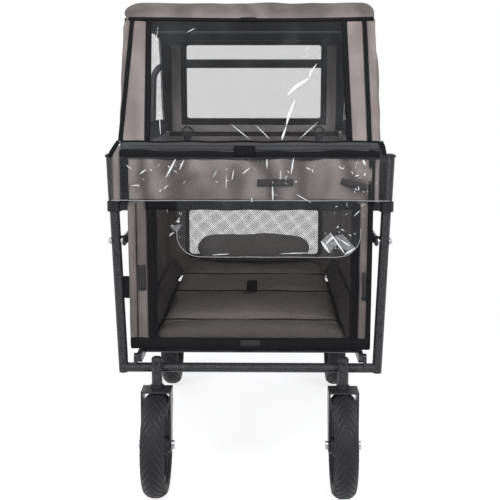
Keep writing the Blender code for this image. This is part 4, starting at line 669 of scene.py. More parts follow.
def smallGlints():
    # short glints where the film is crumpled: middle, spread and count of each group
    groups = [((-0.185, 0.655), (0.055, 0.034), 14), ((0.045, 0.640), (0.11, 0.034), 16),
              ((0.215, 0.652), (0.035, 0.036), 14), ((-0.150, 0.560), (0.014, 0.030), 8),
              ((0.178, 0.528), (0.032, 0.030), 22), ((0.195, 0.585), (0.03, 0.02), 6)]
    glints = []
    for k, ((x, z), (spreadX, spreadZ), count) in enumerate(groups):
        for n in range(count):
            first = noise.cell_vector(Vector((k * 3.1 + 0.5, n * 1.7 + 0.5, 0.5)))
            second = noise.cell_vector(Vector((k * 2.3 + 0.5, n * 1.3 + 0.5, 7.5)))
            a, b = x + (first.x - 0.5) * 2 * spreadX, z + (first.y - 0.5) * 2 * spreadZ
            turn = math.pi * (0.15 + 0.75 * second.x)
            long = 0.003 + 0.011 * second.y ** 2
            bend = (second.z - 0.5) * 0.3 * long
            c, d = a + long * math.cos(turn), b + long * math.sin(turn)
            middle = ((a + c) / 2 + bend * math.sin(turn), (b + d) / 2 - bend * math.cos(turn))
            if min(b, d) < flap["foot"] + 0.002 or abs(max(a, c, key=abs)) > 0.262:
                continue
            glints.append(([(a, b), middle, (c, d)], 0.0009 + 0.0028 * first.z ** 3))
    return glints


def glintSpine(points, steps=7):
    spine = []
    for first, second in zip(points, points[1:]):
        spine += [between(first, second, k / steps) for k in range(steps)]
    spine.append(points[-1])
    return spine


def addCreaseGlint(bm, spine, facing, width, rise=0.0006):
    # a sharp crease in the film, widest in its middle, drawn white as a painted glint
    count = len(spine)
    rows = []
    for k, point in enumerate(spine):
        share = k / (count - 1)
        wide = width / 2 * math.sin(math.pi * min(0.97, max(0.03, share))) ** 0.6
        before, after = spine[max(0, k - 1)], spine[min(count - 1, k + 1)]
        along = (after - before).normalized()
        side = along.cross(facing).normalized() * wide * (0.8 + 0.4 * abs(math.sin(k * 1.7)))
        rows.append([bm.verts.new(spot) for spot in (point - side, point + facing * rise, point + side)])
    for here, there in zip(rows, rows[1:]):
        for k in (0, 1):
            bm.faces.new((here[k], here[k + 1], there[k + 1], there[k]))


def makeRainFlap():
    bm = bmesh.new()

    def bandSpot(u, v):
        x = -flap["half"] + 2 * flap["half"] * u
        head = flap["top"] - 0.024 * smoothShare((abs(x) - 0.25) / (flap["half"] - 0.25))
        z = head + (flap["band"] - head) * v
        return Vector((x, flapY(x, z), z))

    addGrid(bm, bandSpot, 90, 20)

    def tailSpot(u, v):
        z = flap["band"] + (flap["foot"] - flap["band"]) * v
        left, right = tailEdges(z)
        x = left + (right - left) * u
        return Vector((x, flapY(x, z), z))

    addGrid(bm, tailSpot, 70, 24)
    bmesh.ops.remove_doubles(bm, verts=bm.verts, dist=0.0002)
    sheet = newPiece("rainFlap", bm, [clearFilm], "front_frame")
    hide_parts("rain_flap")
    declareCloth(sheet)

    bm = bmesh.new()
    edge = [(-flap["half"] + 2 * flap["half"] * k / 90, flap["band"]) for k in range(91)]
    tail = [(tailEdges(z / 1000)[0], z / 1000) for z in range(606, 493, -3)]
    start, end = tail[-1][0], tailEdges(flap["foot"])[1]
    tail += [(start + (end - start) * k / 40, flap["foot"]) for k in range(1, 40)]
    tail += [(tailEdges(z / 1000)[1], z / 1000) for z in range(494, 607, 3)]
    low = [(x, z) for x, z in tail if z < 0.552]
    # the flap's top edge and lower hem as pale tape: the film's cut edge, coloured as a painted highlight
    for line, wide in ((edge, 0.0015), (low, 0.0013)):
        points = [Vector((x, flapY(x, z) - 0.0003, z)) for x, z in line]
        addTape(bm, points, frontFace, wide, 0.0007, index=2)
    for points, width in flapGlints + smallGlints():
        spine = [Vector((x, flapY(x, z) - 0.0004, z)) for x, z in glintSpine(points)]
        addCreaseGlint(bm, spine, Vector(frontFace), width * 0.7)
    for patch in flapPatches:
        face = bm.faces.new([bm.verts.new(Vector((x, flapY(x, z) - 0.0009, z))) for x, z in patch])
        face.material_index = 1
    newPiece("flapCreases", bm, [creaseWhite, hazyFilm, filmEdge], "front_frame")


makeRainFlap()
print("rain flap made")


# The hood's front: a sloping window between two cheeks

hood = {"half": 0.2555, "lowY": -0.3535, "lowZ": 0.722, "highY": -0.2045, "highZ": 0.964, "hem": 0.695,
        "skirt": 0.668, "backY": 0.3945, "corner": 0.030, "frontCorner": 0.021, "sheet": 0.0022,
        "taper": 0.0145}
slopeLow = Vector((0, hood["lowY"], hood["lowZ"]))
slopeHigh = Vector((0, hood["highY"], hood["highZ"]))
slopeAlong = (slopeHigh - slopeLow).normalized()
slopeOut = Vector((0, -slopeAlong.z, slopeAlong.y))


def onSlope(x, share, lift=0.0):
    return slopeLow.lerp(slopeHigh, share) + Vector((x, 0, 0)) + slopeOut * lift


def windowEdge(side, share):
    return -(0.2035 + 0.0100 * share) if side < 0 else 0.1965 - 0.003 * share


def sideFill(side, z):
    # the sides stand proud of the rails that fold up inside them
    rail = 0.0048 * (1 - smoothShare((z - 0.868) / 0.045))
    proud = 0.0085 * smoothShare((z - 0.70) / 0.06) * (1 - smoothShare((z - 0.945) / 0.03))
    return max(rail, proud if side < 0 else 0.0)


def cheekLift(side, u, v):
    x = side * hood["half"] + (windowEdge(side, v) - side * hood["half"]) * u
    hold = math.sin(math.pi * min(1.0, u + 0.08)) * smoothShare((1 - v) / 0.05)
    return (0.002 + drape(x * 1.8, v * 0.28, side * 3.0, 0.0042)) * hold


def makeHoodFront():
    for side, word in ((-1, "Left"), (1, "Right")):
        def cheekSpot(u, v):
            outer = side * hood["half"]
            x = outer + (windowEdge(side, v) - outer) * u
            return onSlope(x, v, cheekLift(side, u, v))

        bm = bmesh.new()
        addGrid(bm, cheekSpot, 14, 60)

        def gussetSpot(u, v):
            z = hood["skirt"] + (hood["highZ"] - hood["skirt"]) * v
            share = max(0.0, (z - hood["lowZ"]) / (hood["highZ"] - hood["lowZ"]))
            front = hood["lowY"] + (hood["highY"] - hood["lowY"]) * share
            front += 0.010 * smoothShare((0.702 - z) / 0.012)
            y = front + (hood["highY"] - front) * u
            puff = (0.0015 + drape(y, z, 6.0, 0.002)) * math.sin(math.pi * u)
            return Vector((side * (hood["half"] + sideFill(side, z) * smoothShare(u / 0.45) + puff), y, z))

        addGrid(bm, gussetSpot, 10, 40)
        bmesh.ops.remove_doubles(bm, verts=bm.verts, dist=0.0006)
        cheek = newPiece("hoodCheek" + word, bm, [taupe, lining], "front_frame")
        thicken(cheek, hood["sheet"], True, -1.0)
        declareCloth(cheek)

    bm = bmesh.new()
    for side, edge, slip in ((-1, -0.2545, 0.009), (1, 0.2338, 0.0)):
        points = []
        for share in [k / 30 for k in range(31)]:
            x = edge + slip * share
            across = (x - side * hood["half"]) / (windowEdge(side, share) - side * hood["half"])
            points.append(onSlope(x, share, cheekLift(side, across, share) + 0.001))
        addTape(bm, points, tuple(slopeOut), 0.0095, 0.0026)
        points = [onSlope(windowEdge(side, k / 24) - side * 0.002, k / 24, 0.001) for k in range(25)]
        addTape(bm, points, tuple(slopeOut), 0.0125, 0.0024)
    top = []
    for k in range(49):
        dip = 0.012 * math.sin(math.pi * k / 48) * (0.6 + 0.8 * k / 48)
        top.append(onSlope(-0.2535 + 0.507 * k / 48, 1.0 - dip, 0.0016))
    addTape(bm, top, tuple(slopeOut), 0.0085, 0.003)
    newPiece("hoodBindings", bm, [blackTape], "front_frame")

    bm = bmesh.new()
    tab = [onSlope(-0.022 + 0.032 * k / 6, 0.988, 0.004) for k in range(7)]
    addTape(bm, tab, tuple(slopeOut), 0.011, 0.002)
    newPiece("hoodTopTab", bm, [blackTape], "front_frame")


# painted glints along creases in the hood window: points as across and share of the slope, and width of each
windowGlints = [
    ([(0.1338, 0.618), (0.1212, 0.552), (0.1183, 0.501)], 0.003),
    ([(0.1183, 0.501), (0.0903, 0.429), (0.074, 0.361)], 0.0062),
    ([(0.0888, 0.32), (0.0768, 0.208), (0.0711, 0.121)], 0.0046),
    ([(0.0711, 0.115), (0.0649, 0.044), (0.0622, 0.01)], 0.0036),
    ([(-0.0395, 0.137), (-0.0197, 0.074), (0.0, 0.012)], 0.0014),
    ([(0.1335, 0.149), (0.1143, 0.082), (0.0956, 0.012)], 0.0014),
    ([(0.0099, 0.13), (0.0392, 0.012)], 0.0012), ([(0.1101, 0.722), (0.1206, 0.765)], 0.0014),
    ([(-0.1316, 0.883), (-0.1154, 0.917)], 0.0016),
    ([(-0.192, 0.93), (-0.194, 0.8), (-0.1945, 0.72)], 0.0010),
    ([(-0.180, 0.2), (-0.178, 0.12), (-0.176, 0.05)], 0.0014),
]


def filmLift(x, share):
    return 0.0016 + 0.0022 * math.sin(math.pi * share) * ripple((x, 0, share * 0.3), 11.0, 8.0)


def makeHoodWindow():
    def spotAt(u, v):
        left, right = windowEdge(-1, v), windowEdge(1, v)
        x = left + (right - left) * u
        return onSlope(x, 0.002 + 0.99 * v, filmLift(x, v))

    bm = bmesh.new()
    addGrid(bm, spotAt, 50, 36)
    film = newPiece("hoodWindowFilm", bm, [clearFilm], "front_frame")
    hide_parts("hood_window")
    declareCloth(film)
    bm = bmesh.new()
    for points, width in windowGlints:
        spine = [onSlope(x, share, filmLift(x, share) + 0.0005) for x, share in glintSpine(points)]
        addCreaseGlint(bm, spine, slopeOut, width)
    newPiece("windowCreases", bm, [creaseWhite], "front_frame")


waist = {"y": -0.3543, "low": 0.7052, "high": 0.7228, "teeth": 150, "teethHalf": 0.236, "toothY": -0.3556,
         "tab": ((-0.0315, -0.3592, 0.7025), (0.0095, -0.3592, 0.7025))}


def makeWaistBand():
    def spotAt(u, v):
        z = waist["low"] + (waist["high"] - waist["low"]) * v + 0.0012 * math.sin(u * 9.0)
        return Vector((-0.2545 + 0.509 * u, waist["y"] - 0.0012 * math.sin(math.pi * v), z))

    bm = bmesh.new()
    addGrid(bm, spotAt, 60, 6)
    band = newPiece("waistZipBand", bm, [zipTape], "front_frame")
    thicken(band, 0.0012)
    bm = bmesh.new()
    lower = [Vector((-0.255 + 0.51 * k / 60, -0.3562, 0.6975 - 0.003 * math.sin(math.pi * k / 60)
                     + 0.0012 * math.sin(k * 0.4))) for k in range(61)]
    addTape(bm, lower, frontFace, 0.0165, 0.0032)
    upper = [Vector((-0.253 + 0.506 * k / 60, -0.3553, 0.7222 + 0.0008 * math.sin(k * 0.5)))
             for k in range(61)]
    addTape(bm, upper, frontFace, 0.0032, 0.0016)
    newPiece("waistBinding", bm, [blackTape], "front_frame")
    bm = bmesh.new()
    for k in range(waist["teeth"]):
        x = -waist["teethHalf"] + 2 * waist["teethHalf"] * k / (waist["teeth"] - 1)
        tooth = [Vector((x, waist["toothY"], z)) for z in (0.7128, 0.7154)]
        addTape(bm, tooth, frontFace, 0.0016, 0.0009)
    newPiece("waistZipTeeth", bm, [blackMoulding], "front_frame")
    bm = bmesh.new()
    addStrip(bm, *waist["tab"], 6, frontFace, 0.0225, 0.0018)
    newPiece("waistTab", bm, [blackTape], "front_frame")


makeHoodFront()
makeHoodWindow()
makeWaistBand()
print("hood front made")


# The hood's roof and walls behind the split, which on the real wagon crumple as it folds

roofLine = [(-0.2045, 0.964), (-0.1900, 0.984), (-0.1650, 0.9985), (-0.13, 1.004), (-0.06, 1.0065),
            (0.0405, 1.0085), (0.15, 1.006), (0.2545, 1.0), (0.3595, 0.978), (0.3885, 0.956), (0.3945, 0.931)]
# shares of the hood's length and of its side's height at which its cloth is drawn
hoodPlan = {
    "stations": [0.0, 0.012, 0.03, 0.065, 0.12, 0.18, 0.24, 0.3, 0.36, 0.42, 0.5, 0.58, 0.64, 0.7, 0.75,
                 0.8, 0.86, 0.91, 0.95, 0.975, 0.99, 1.0],
    "walls": [-0.095, 0.0, 0.07, 0.13, 0.18, 0.26, 0.34, 0.42, 0.5, 0.58, 0.66, 0.74, 0.83, 0.88, 0.94, 1.0],
    "arcSteps": 5, "roofSteps": 24, "windowColumns": (2, 18), "windowRows": (3, 14),
}


def roofZ(y):
    for (y0, z0), (y1, z1) in zip(roofLine, roofLine[1:]):
        if y <= y1:
            share = max(0.0, min(1.0, (y - y0) / (y1 - y0)))
            return z0 + (z1 - z0) * share
    return roofLine[-1][1]


def hoodWidth(y):
    # the hood narrows toward the rear
    share = (y - hood["highY"]) / (hood["backY"] - hood["highY"])
    return hood["half"] - hood["taper"] * smoothShare((share - 0.45) / 0.55)


def crumple(piece):
    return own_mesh(piece)


def puffOut(spot, row, station, hold):
    # slack folds in the sides, and a fuller brow behind the split
    x, y, z = spot
    lastWall = len(hoodPlan["walls"]) - 1
    height = min(1.0, row / lastWall)
    fold = drape(y, z, 3.0 if x < 0 else 12.0, 0.0035) * hold * math.sin(math.pi * height)
    brow = 0.017 * smoothShare(station / 0.04) * smoothShare((0.5 - station) / 0.4)
    brow *= smoothShare((height - 0.5) / 0.4)
    brow *= 1 - max(0, row - lastWall) / hoodPlan["arcSteps"]
    full = sideFill(x, z) * (1 - smoothShare((station - 0.10) / 0.30)) if height < 1 else 0.0
    out = 0.002 * hold + max(-0.0005, fold) + max(full, brow if x < 0 else 0.3 * brow)
    return x + math.copysign(out, x), y, z


def hoodRing(station):
    # one strip of the hood, from the left hem over the roof to the right hem
    arcSteps, roofSteps = hoodPlan["arcSteps"], hoodPlan["roofSteps"]
    y = hood["highY"] + (hood["backY"] - hood["highY"]) * station
    top = roofZ(y)
    half = hoodWidth(y)
    corner = hood["frontCorner"] + (hood["corner"] - hood["frontCorner"]) * smoothShare(station * 1.5)
    shoulder = top - corner
    hold = min(1.0, 9 * station) * min(1.0, 9 * (1 - station))
    ring = []
    for share in hoodPlan["walls"]:
        shear = 0.0
        if 0 < station < 1:
            shear = 0.075 * max(0.0, share - 0.15) * max(0.0, 1 - abs(station - 0.06) / 0.5)
        lean = (station - 0.5) / 0.41 if station < 0.91 else (1 - station) / 0.09
        shear -= 0.17 * max(0.0, share - 0.07) * max(0.0, lean)
        rise = share * (1 - smoothShare((station - 0.84) / 0.1)) if share < 0 else share
        z = hood["hem"] + (roofZ(y + shear) - corner - hood["hem"]) * rise
        ring.append((-half + 0.001, y + shear, z))
    for step in range(1, arcSteps):
        angle = math.pi * 0.5 * step / arcSteps
        ring.append((-(half - corner + corner * math.cos(angle)), y, shoulder + corner * math.sin(angle)))
    left = list(ring)
    for step in range(roofSteps + 1):
        x = -(half - corner) * (1 - 2 * step / roofSteps)
        crown = math.sin(math.pi * step / roofSteps)
        sag = 0.0035 * crown * math.sin(2 * math.pi * station) ** 2
        ring.append((x, y, top - sag + drape(x * 0.8, y * 0.9, 8.0, 0.0055) * hold * crown))
    ring += [(-x, far, z) for x, far, z in reversed(left)]
    for k, spot in enumerate(ring):
        row = min(k, len(ring) - 1 - k)
        if row < len(left):
            ring[k] = puffOut(spot, row, station, hold)
    return ring


def hoodSpot(grid, side, k, row):
    return Vector(grid[k][row if side < 0 else -1 - row])


def windowLoop(grid, side):
    # once round the opening of a side window
    first, last = hoodPlan["windowColumns"]
    low, high = hoodPlan["windowRows"]
    places = [(k, low) for k in range(first, last + 1)]
    places += [(last, row) for row in range(low + 1, high + 1)]
    places += [(k, high) for k in range(last - 1, first - 1, -1)]
    places += [(first, row) for row in range(high - 1, low, -1)]
    return [hoodSpot(grid, side, k, row) for k, row in places]


def makeHoodBody():
    first, last = hoodPlan["windowColumns"]
    low, high = hoodPlan["windowRows"]
    grid = [hoodRing(station) for station in hoodPlan["stations"]]
    bm = bmesh.new()
    verts = [[bm.verts.new(spot) for spot in ring] for ring in grid]
    size = len(grid[0])
    for k in range(len(grid) - 1):
        for j in range(size - 1):
            if first <= k < last and low <= min(j, size - 2 - j) < high:
                continue
            bm.faces.new((verts[k][j], verts[k + 1][j], verts[k + 1][j + 1], verts[k][j + 1]))
    body = newPiece("hoodBody", bm, [roofCloth, lining], "front_frame")
    smoothOnce(body)
    thicken(body, hood["sheet"], True, -1.0)
    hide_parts("hood_shell")
    declareCloth(body)
    crumple(body)

    bm = bmesh.new()
    for side in (-1, 1):
        loop = windowLoop(grid, side)
        for lift, out, width, thick in ((0.0012, 1, 0.013, 0.0016), (-0.0024, -1, 0.007, 0.0009)):
            points = []
            for point, after in zip(loop, loop[1:] + loop[:1]):
                points += [point.lerp(after, step / 2) + Vector((side * lift, 0, 0)) for step in range(2)]
            addTape(bm, points, (side * out, 0, 0), width, thick, closed=True)
    crumple(newPiece("sideWindowBindings", bm, [blackTape], "front_frame"))

    for side, word in ((-1, "Left"), (1, "Right")):
        inward = Vector((side * 0.0015, 0, 0))
        bm = bmesh.new()
        rows = []
        for k in range(first, last + 1):
            rows.append([bm.verts.new(hoodSpot(grid, side, k, row) - inward) for row in range(low, high + 1)])
        for here, there in zip(rows, rows[1:]):
            for k in range(len(here) - 1):
                bm.faces.new((here[k], here[k + 1], there[k + 1], there[k]))
        net = newPiece("sideNet" + word, bm, [sideNet], "front_frame")
        declareCloth(net)
        crumple(net)


backWindow = {"half": 0.185, "sill": 0.735, "head": 0.936, "corner": 0.010, "inside": hood["backY"] - 0.0028,
              "upright": [(0.189, 0.0165, 0.7305, 0.938), (0.2305, 0.0170, 0.700, 0.925)],
              "level": [(0.7265, 0.0165, 0.197), (0.9400, 0.0080, 0.197), (0.6850, 0.0100, 0.232)]}
leash = {"middles": (-0.1805, 0.1774), "y": 0.3825, "z": 0.7005, "radius": 0.0135, "wire": 0.0021}


def makeHoodBack():
    outer = roundedLoop(-0.2405, 0.695, 0.2405, 0.944, 0.03, 24, 14)
    inner = roundedLoop(-backWindow["half"], backWindow["sill"], backWindow["half"], backWindow["head"],
                        backWindow["corner"], 24, 14)

    def spotAt(x, z):
        return Vector((x, hood["backY"] - 0.001 + ripple((x, 0, z), 12.0, 5.0) * 0.0012, z))

    bm = bmesh.new()
    addFrame(bm, outer, inner, 6, spotAt)
    wall = newPiece("hoodBack", bm, [taupe, innerTaupe], "rear_frame")
    thicken(wall, 0.0018, True, 0.0)
    declareCloth(wall)

    bm = bmesh.new()
    addGrid(bm, lambda u, v: Vector((-0.187 + 0.374 * u, hood["backY"] - 0.0015, 0.733 + 0.205 * v)), 16, 10)
    net = newPiece("hoodBackNet", bm, [sideNet], "rear_frame")
    declareCloth(net)

    bm = bmesh.new()
    loop = [Vector((x, hood["backY"] + 0.0002, z))
            for x, z in roundedLoop(-0.189, 0.7305, 0.189, 0.9365, 0.016, 24, 14)]
    addTape(bm, loop, (0, 1, 0), 0.012, 0.0016, closed=True)
    # frame tapes and dark corner tapes inside the hood
    y = backWindow["inside"]
    for side in (-1, 1):
        for x, wide, low, high in backWindow["upright"]:
            addStrip(bm, (side * x, y, low), (side * x, y, high), 12, frontFace, wide, 0.0014)
    for z, wide, half in backWindow["level"]:
        addStrip(bm, (-half, y, z), (half, y, z), 12, frontFace, wide, 0.0014)
    newPiece("hoodBackBindings", bm, [blackTape], "rear_frame")

    bm = bmesh.new()
    radius = leash["radius"]
    for x in leash["middles"]:
        ring = [Vector((x + radius * math.cos(a), leash["y"], leash["z"] + radius * math.sin(a)))
                for a in [math.pi * 2 * k / 24 for k in range(24)]]
        addSweep(bm, ring, frontFace, roundSection(leash["wire"], 6), closed=True)
        addStrip(bm, (x, 0.3845, 0.695), (x, 0.3845, 0.672), 4, frontFace, 0.02, 0.0022)
    newPiece("leashRings", bm, [blackMoulding], "rear_frame")


bow = {"socketX": 0.24985, "innerX": 0.2355, "y": 0.3805, "foot": 0.666, "step": 0.702, "top": 0.944,
       "bend": 0.03, "lean": 0.010, "radius": 0.0025}


def makeRearBow():
    # a sprung wire bow that steps in from its sockets and stands inside the cloth
    leg = [(bow["socketX"], bow["y"], bow["foot"]), (bow["socketX"], bow["y"], bow["step"] - 0.014),
           (bow["innerX"], bow["y"], bow["step"] + 0.008),
           (bow["innerX"], bow["y"], bow["top"] - bow["bend"])]
    for step in range(1, 7):
        angle = math.pi / 2 * step / 6
        leg.append((bow["innerX"] - bow["bend"] * (1 - math.cos(angle)), bow["y"] - bow["lean"] * step / 6,
                    bow["top"] - bow["bend"] * (1 - math.sin(angle))))
    route = [(-x, y, z) for x, y, z in leg] + leg[::-1]
    bm = bmesh.new()
    addSweep(bm, route, (0, 1, 0), roundSection(bow["radius"], 10))
    wireBow = newPiece("rearBow", bm, [blackMoulding], "rear_frame")
    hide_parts("hood_bow_rear")


makeRearBow()
makeHoodBody()
makeHoodBack()
print("hood body made")


# Tub sides and rear wall


def sideX(share):
    return tub["frontHalf"] - 0.001 + (tub["rearHalf"] - tub["frontHalf"]) * share


def closeUp(piece):
    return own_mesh(piece)


def makeTubSides():
    for side, word in ((-1, "Left"), (1, "Right")):
        def spotAt(u, v):
            y = tub["sideFront"] + tub["sideLength"] * u
            z = tub["foot"] + (tub["top"] - tub["foot"]) * v
            edge = math.sin(math.pi * u) ** 0.5 * math.sin(math.pi * v) ** 0.5
            wrinkle = ripple((side, y, z), 7.0, 3.0) * 0.0028 * edge
            x = sideX(u) - 0.0012 - 0.0014 * edge + wrinkle
            return Vector((side * min(x, sideX(u)), y, z))

        bm = bmesh.new()
        addGrid(bm, spotAt, 48, 28)
        wall = newPiece("tubSide" + word, bm, [taupe], "front_frame")
        thicken(wall, 0.004)
        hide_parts("tub_side_left" if side < 0 else "tub_side_right")
        declareCloth(wall)
        closeUp(wall)

        def bindingSpot(share, z):
            return Vector((side * (sideX(share) - 0.0008), tub["sideFront"] + tub["sideLength"] * share, z))

        bm = bmesh.new()
        outward = (side, 0, 0)
        for z in (0.694, 0.307):
            addTape(bm, [bindingSpot(k / 30, z) for k in range(31)], outward, 0.014, 0.0022)
        for y in (-0.338, 0.379):
            share = (y - tub["sideFront"]) / tub["sideLength"]
            addStrip(bm, bindingSpot(share, 0.302), bindingSpot(share, 0.698), 16, outward, 0.010, 0.0020)
        closeUp(newPiece("tubSideBinding" + word, bm, [blackTape], "front_frame"))


def makeRearWall():
    outer = roundedLoop(-tub["rearHalf"], tub["foot"], tub["rearHalf"], tub["top"], tub["edge"], 24, 20)
    inner = roundedLoop(-0.180, 0.360, 0.180, 0.488, 0.015, 24, 20)

    def spotAt(x, z):
        return Vector((x, tub["rearY"] + ripple((x, 0, z), 10.0, 8.0) * 0.002, z))

    bm = bmesh.new()
    addFrame(bm, outer, inner, 10, spotAt)
    wall = newPiece("rearWall", bm, [taupe], "rear_frame")
    thicken(wall, 0.0018)
    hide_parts("tub_rear_panel")
    declareCloth(wall)

    bm = bmesh.new()
    addGrid(bm, lambda u, v: Vector((-0.182 + 0.364 * u, tub["rearY"], 0.358 + 0.132 * v)), 16, 8)
    net = newPiece("rearNet", bm, [backNet], "rear_frame")
    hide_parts("rear_mesh")
    declareCloth(net)

    bm = bmesh.new()
    loop = roundedLoop(-0.184, 0.356, 0.184, 0.492, 0.016, 24, 12)
    for out in (1, -1):
        y = tub["rearY"] + out * 0.0012
        points = [Vector((x, y, z)) for x, z in loop]
        addTape(bm, points, (0, out, 0), 0.012, 0.0018, closed=True)
        for half, z, width in ((0.19, 0.503, 0.018), (0.23, 0.694, 0.012)):
            addStrip(bm, (-half, y, z), (half, y, z), 10, (0, out, 0), width, 0.0018)
    newPiece("rearBindings", bm, [blackTape], "rear_frame")


makeTubSides()
makeRearWall()
print("tub walls made")


# Mattress in four sewn pads, and the pillow

pads = {"half": 0.2055, "top": 0.345, "foot": 0.2948, "cuts": (-0.3428, -0.2635, 0.0115, 0.2165, 0.3740),
        "cap": 0.008, "voxel": 0.006, "inset": 0.004, "seamHalf": 0.198}


def puffed(piece, voxel, cap, box, steps=20):
    # remesh, then let a little pressure round the cushion out
    remesh = piece.modifiers.new("remesh", "REMESH")
    remesh.mode = "VOXEL"
    remesh.voxel_size = voxel
    bakeShape(piece)
    start = [v.co.copy() for v in piece.data.vertices]
    cloth = piece.modifiers.new("puff", "CLOTH")
    cloth.settings.use_pressure = True
    cloth.settings.uniform_pressure_force = 4.0
    cloth.settings.effector_weights.gravity = 0.0
    cloth.settings.mass = 0.3
    cloth.settings.quality = 5
    cloth.point_cache.frame_start = 1
    cloth.point_cache.frame_end = steps
    for step in range(1, steps + 1):
        bpy.context.scene.frame_set(step)
    bakeShape(piece)
    bpy.context.scene.frame_set(1)
    low, high = Vector(box[0]), Vector(box[1])
    for vert, first in zip(piece.data.vertices, start):
        moved = vert.co - first
        if moved.length > cap:
            moved *= cap / moved.length
        spot = first + moved
        vert.co = Vector(min(max(spot[k], low[k]), high[k]) for k in range(3))
    return piece


def bakeShape(piece):
    bpy.context.view_layer.update()
    shaped = piece.evaluated_get(bpy.context.evaluated_depsgraph_get())
    mesh = bpy.data.meshes.new_from_object(shaped)
    finishes = [slotHere.material for slotHere in piece.material_slots]
    piece.modifiers.clear()
    piece.data = mesh
    mesh.materials.clear()
    for finish in finishes:
        mesh.materials.append(finish)
    mesh.shade_smooth()


def makePad(name, front, back, body):
    half = pads["half"]
    length = back - front
    foot, top = pads["foot"], pads["top"]

    def spotAt(u, v):
        across = 2 * u - 1
        along = 2 * v - 1
        dip = max(0.0, 1 - abs(across) ** 12) ** 0.5 * max(0.0, 1 - abs(along) ** 10) ** 0.5
        x = (half - pads["inset"]) * across
        y = front + length / 2 + (length / 2 - 0.0015) * along
        quilt = ripple((x, y, 0), 15.0, 6.0) * 0.0022 + 0.0016 * math.sin(x * 23.0 + y * 31.0) * dip
        return x, y, foot + 0.012 + (top - foot - 0.018) * dip + quilt

    bm = bmesh.new()
    columns, rows = 36, max(10, int(length / 0.012))
    upper = []
    for r in range(rows + 1):
        upper.append([bm.verts.new(spotAt(c / columns, r / rows)) for c in range(columns + 1)])
    lower = [[bm.verts.new((v.co.x * 0.985, v.co.y, foot + 0.0015)) for v in row] for row in upper]
    for r in range(rows):
        for c in range(columns):
            bm.faces.new((upper[r][c], upper[r][c + 1], upper[r + 1][c + 1], upper[r + 1][c]))
            bm.faces.new((lower[r][c], lower[r + 1][c], lower[r + 1][c + 1], lower[r][c + 1]))
    for r in range(rows):
        for c in (0, columns):
            bm.faces.new((upper[r][c], upper[r + 1][c], lower[r + 1][c], lower[r][c]))
    for c in range(columns):
        for r in (0, rows):
            bm.faces.new((upper[r][c], upper[r][c + 1], lower[r][c + 1], lower[r][c]))
    pad = newPiece(name, bm, [frontPadCloth if name == "padFront" else padCloth], None)
    puffed(pad, pads["voxel"], pads["cap"], ((-0.2065, front, foot), (0.2065, back, top + 0.004)))
    smoothOnce(pad)
    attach(pad, body)
    return pad


skirts = {"inner": 0.1970, "outer": 0.2300, "narrow": 0.0145, "foot": 0.3190, "rise": 0.033, "gap": 0.001}


def makeSkirt(padName, front, back, body):
    # cloth beside each pad, so no light shows between it and the tub; it is coloured darker than the walls as
    # painted shade in the gap
    length = back - front - 2 * skirts["gap"]
    bm = bmesh.new()
    for side in (-1, 1):
        def skirtSpot(u, v):
            y = front + skirts["gap"] + length * u
            outer = skirts["outer"] - skirts["narrow"] * (y - tub["frontY"])
            x = skirts["inner"] + (outer - skirts["inner"]) * v
            sag = (0.004 + ripple((side, y, v * 0.1), 12.0, 5.0) * 0.003) * math.sin(math.pi * v)
            return Vector((side * x, y, skirts["foot"] + skirts["rise"] * v - sag))

        addGrid(bm, skirtSpot, 16, 6)
    skirt = newPiece("skirt" + padName[3:], bm, [innerCloth], body)
    thicken(skirt, 0.0012)
    declareCloth(skirt)
    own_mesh(skirt)


def makeMattress():
    cuts = pads["cuts"]
    names = ("padFront", "padSecond", "padThird", "padBack")
    bodies = ("floor_front", "floor_front", "floor_rear", "floor_rear")
    made = [makePad(*row) for row in zip(names, cuts, cuts[1:], bodies)]
    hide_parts("mattress")
    # a sewn line lies in each channel, drawn near black: the seam with painted shade of the channel
    reach = pads["seamHalf"]
    for k, (y, body) in enumerate(zip(cuts[1:4], ("floor_front", "floor_rear", "floor_rear"))):
        line = []
        for step in range(61):
            x = -reach + 2 * reach * step / 60
            edge = smoothShare((reach - abs(x)) / 0.02)
            z = pads["top"] - 0.019 + 0.0135 * edge + ripple((x, y, 0), 15.0, 6.0) * 0.002
            line.append(Vector((x, y + 0.0006 * math.sin(x * 40 + k), z)))
        bm = bmesh.new()
        addTape(bm, line, (0, 0, 1), 0.0062, 0.0022)
        seam = newPiece("padSeam" + "ABC"[k], bm, [boardCloth], body)
        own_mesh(seam)
    for pad, way in zip(made, ("front", "middle", "middle", "back")):
        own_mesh(pad)
    for pad, front, back, body in zip(made, cuts, cuts[1:], bodies):
        makeSkirt(pad.name, front, back, body)


pillowPlan = {"half": 0.154, "backY": 0.3785, "deep": 0.080, "foot": 0.3456, "tall": 0.084,
              "stations": 41, "sides": 28}


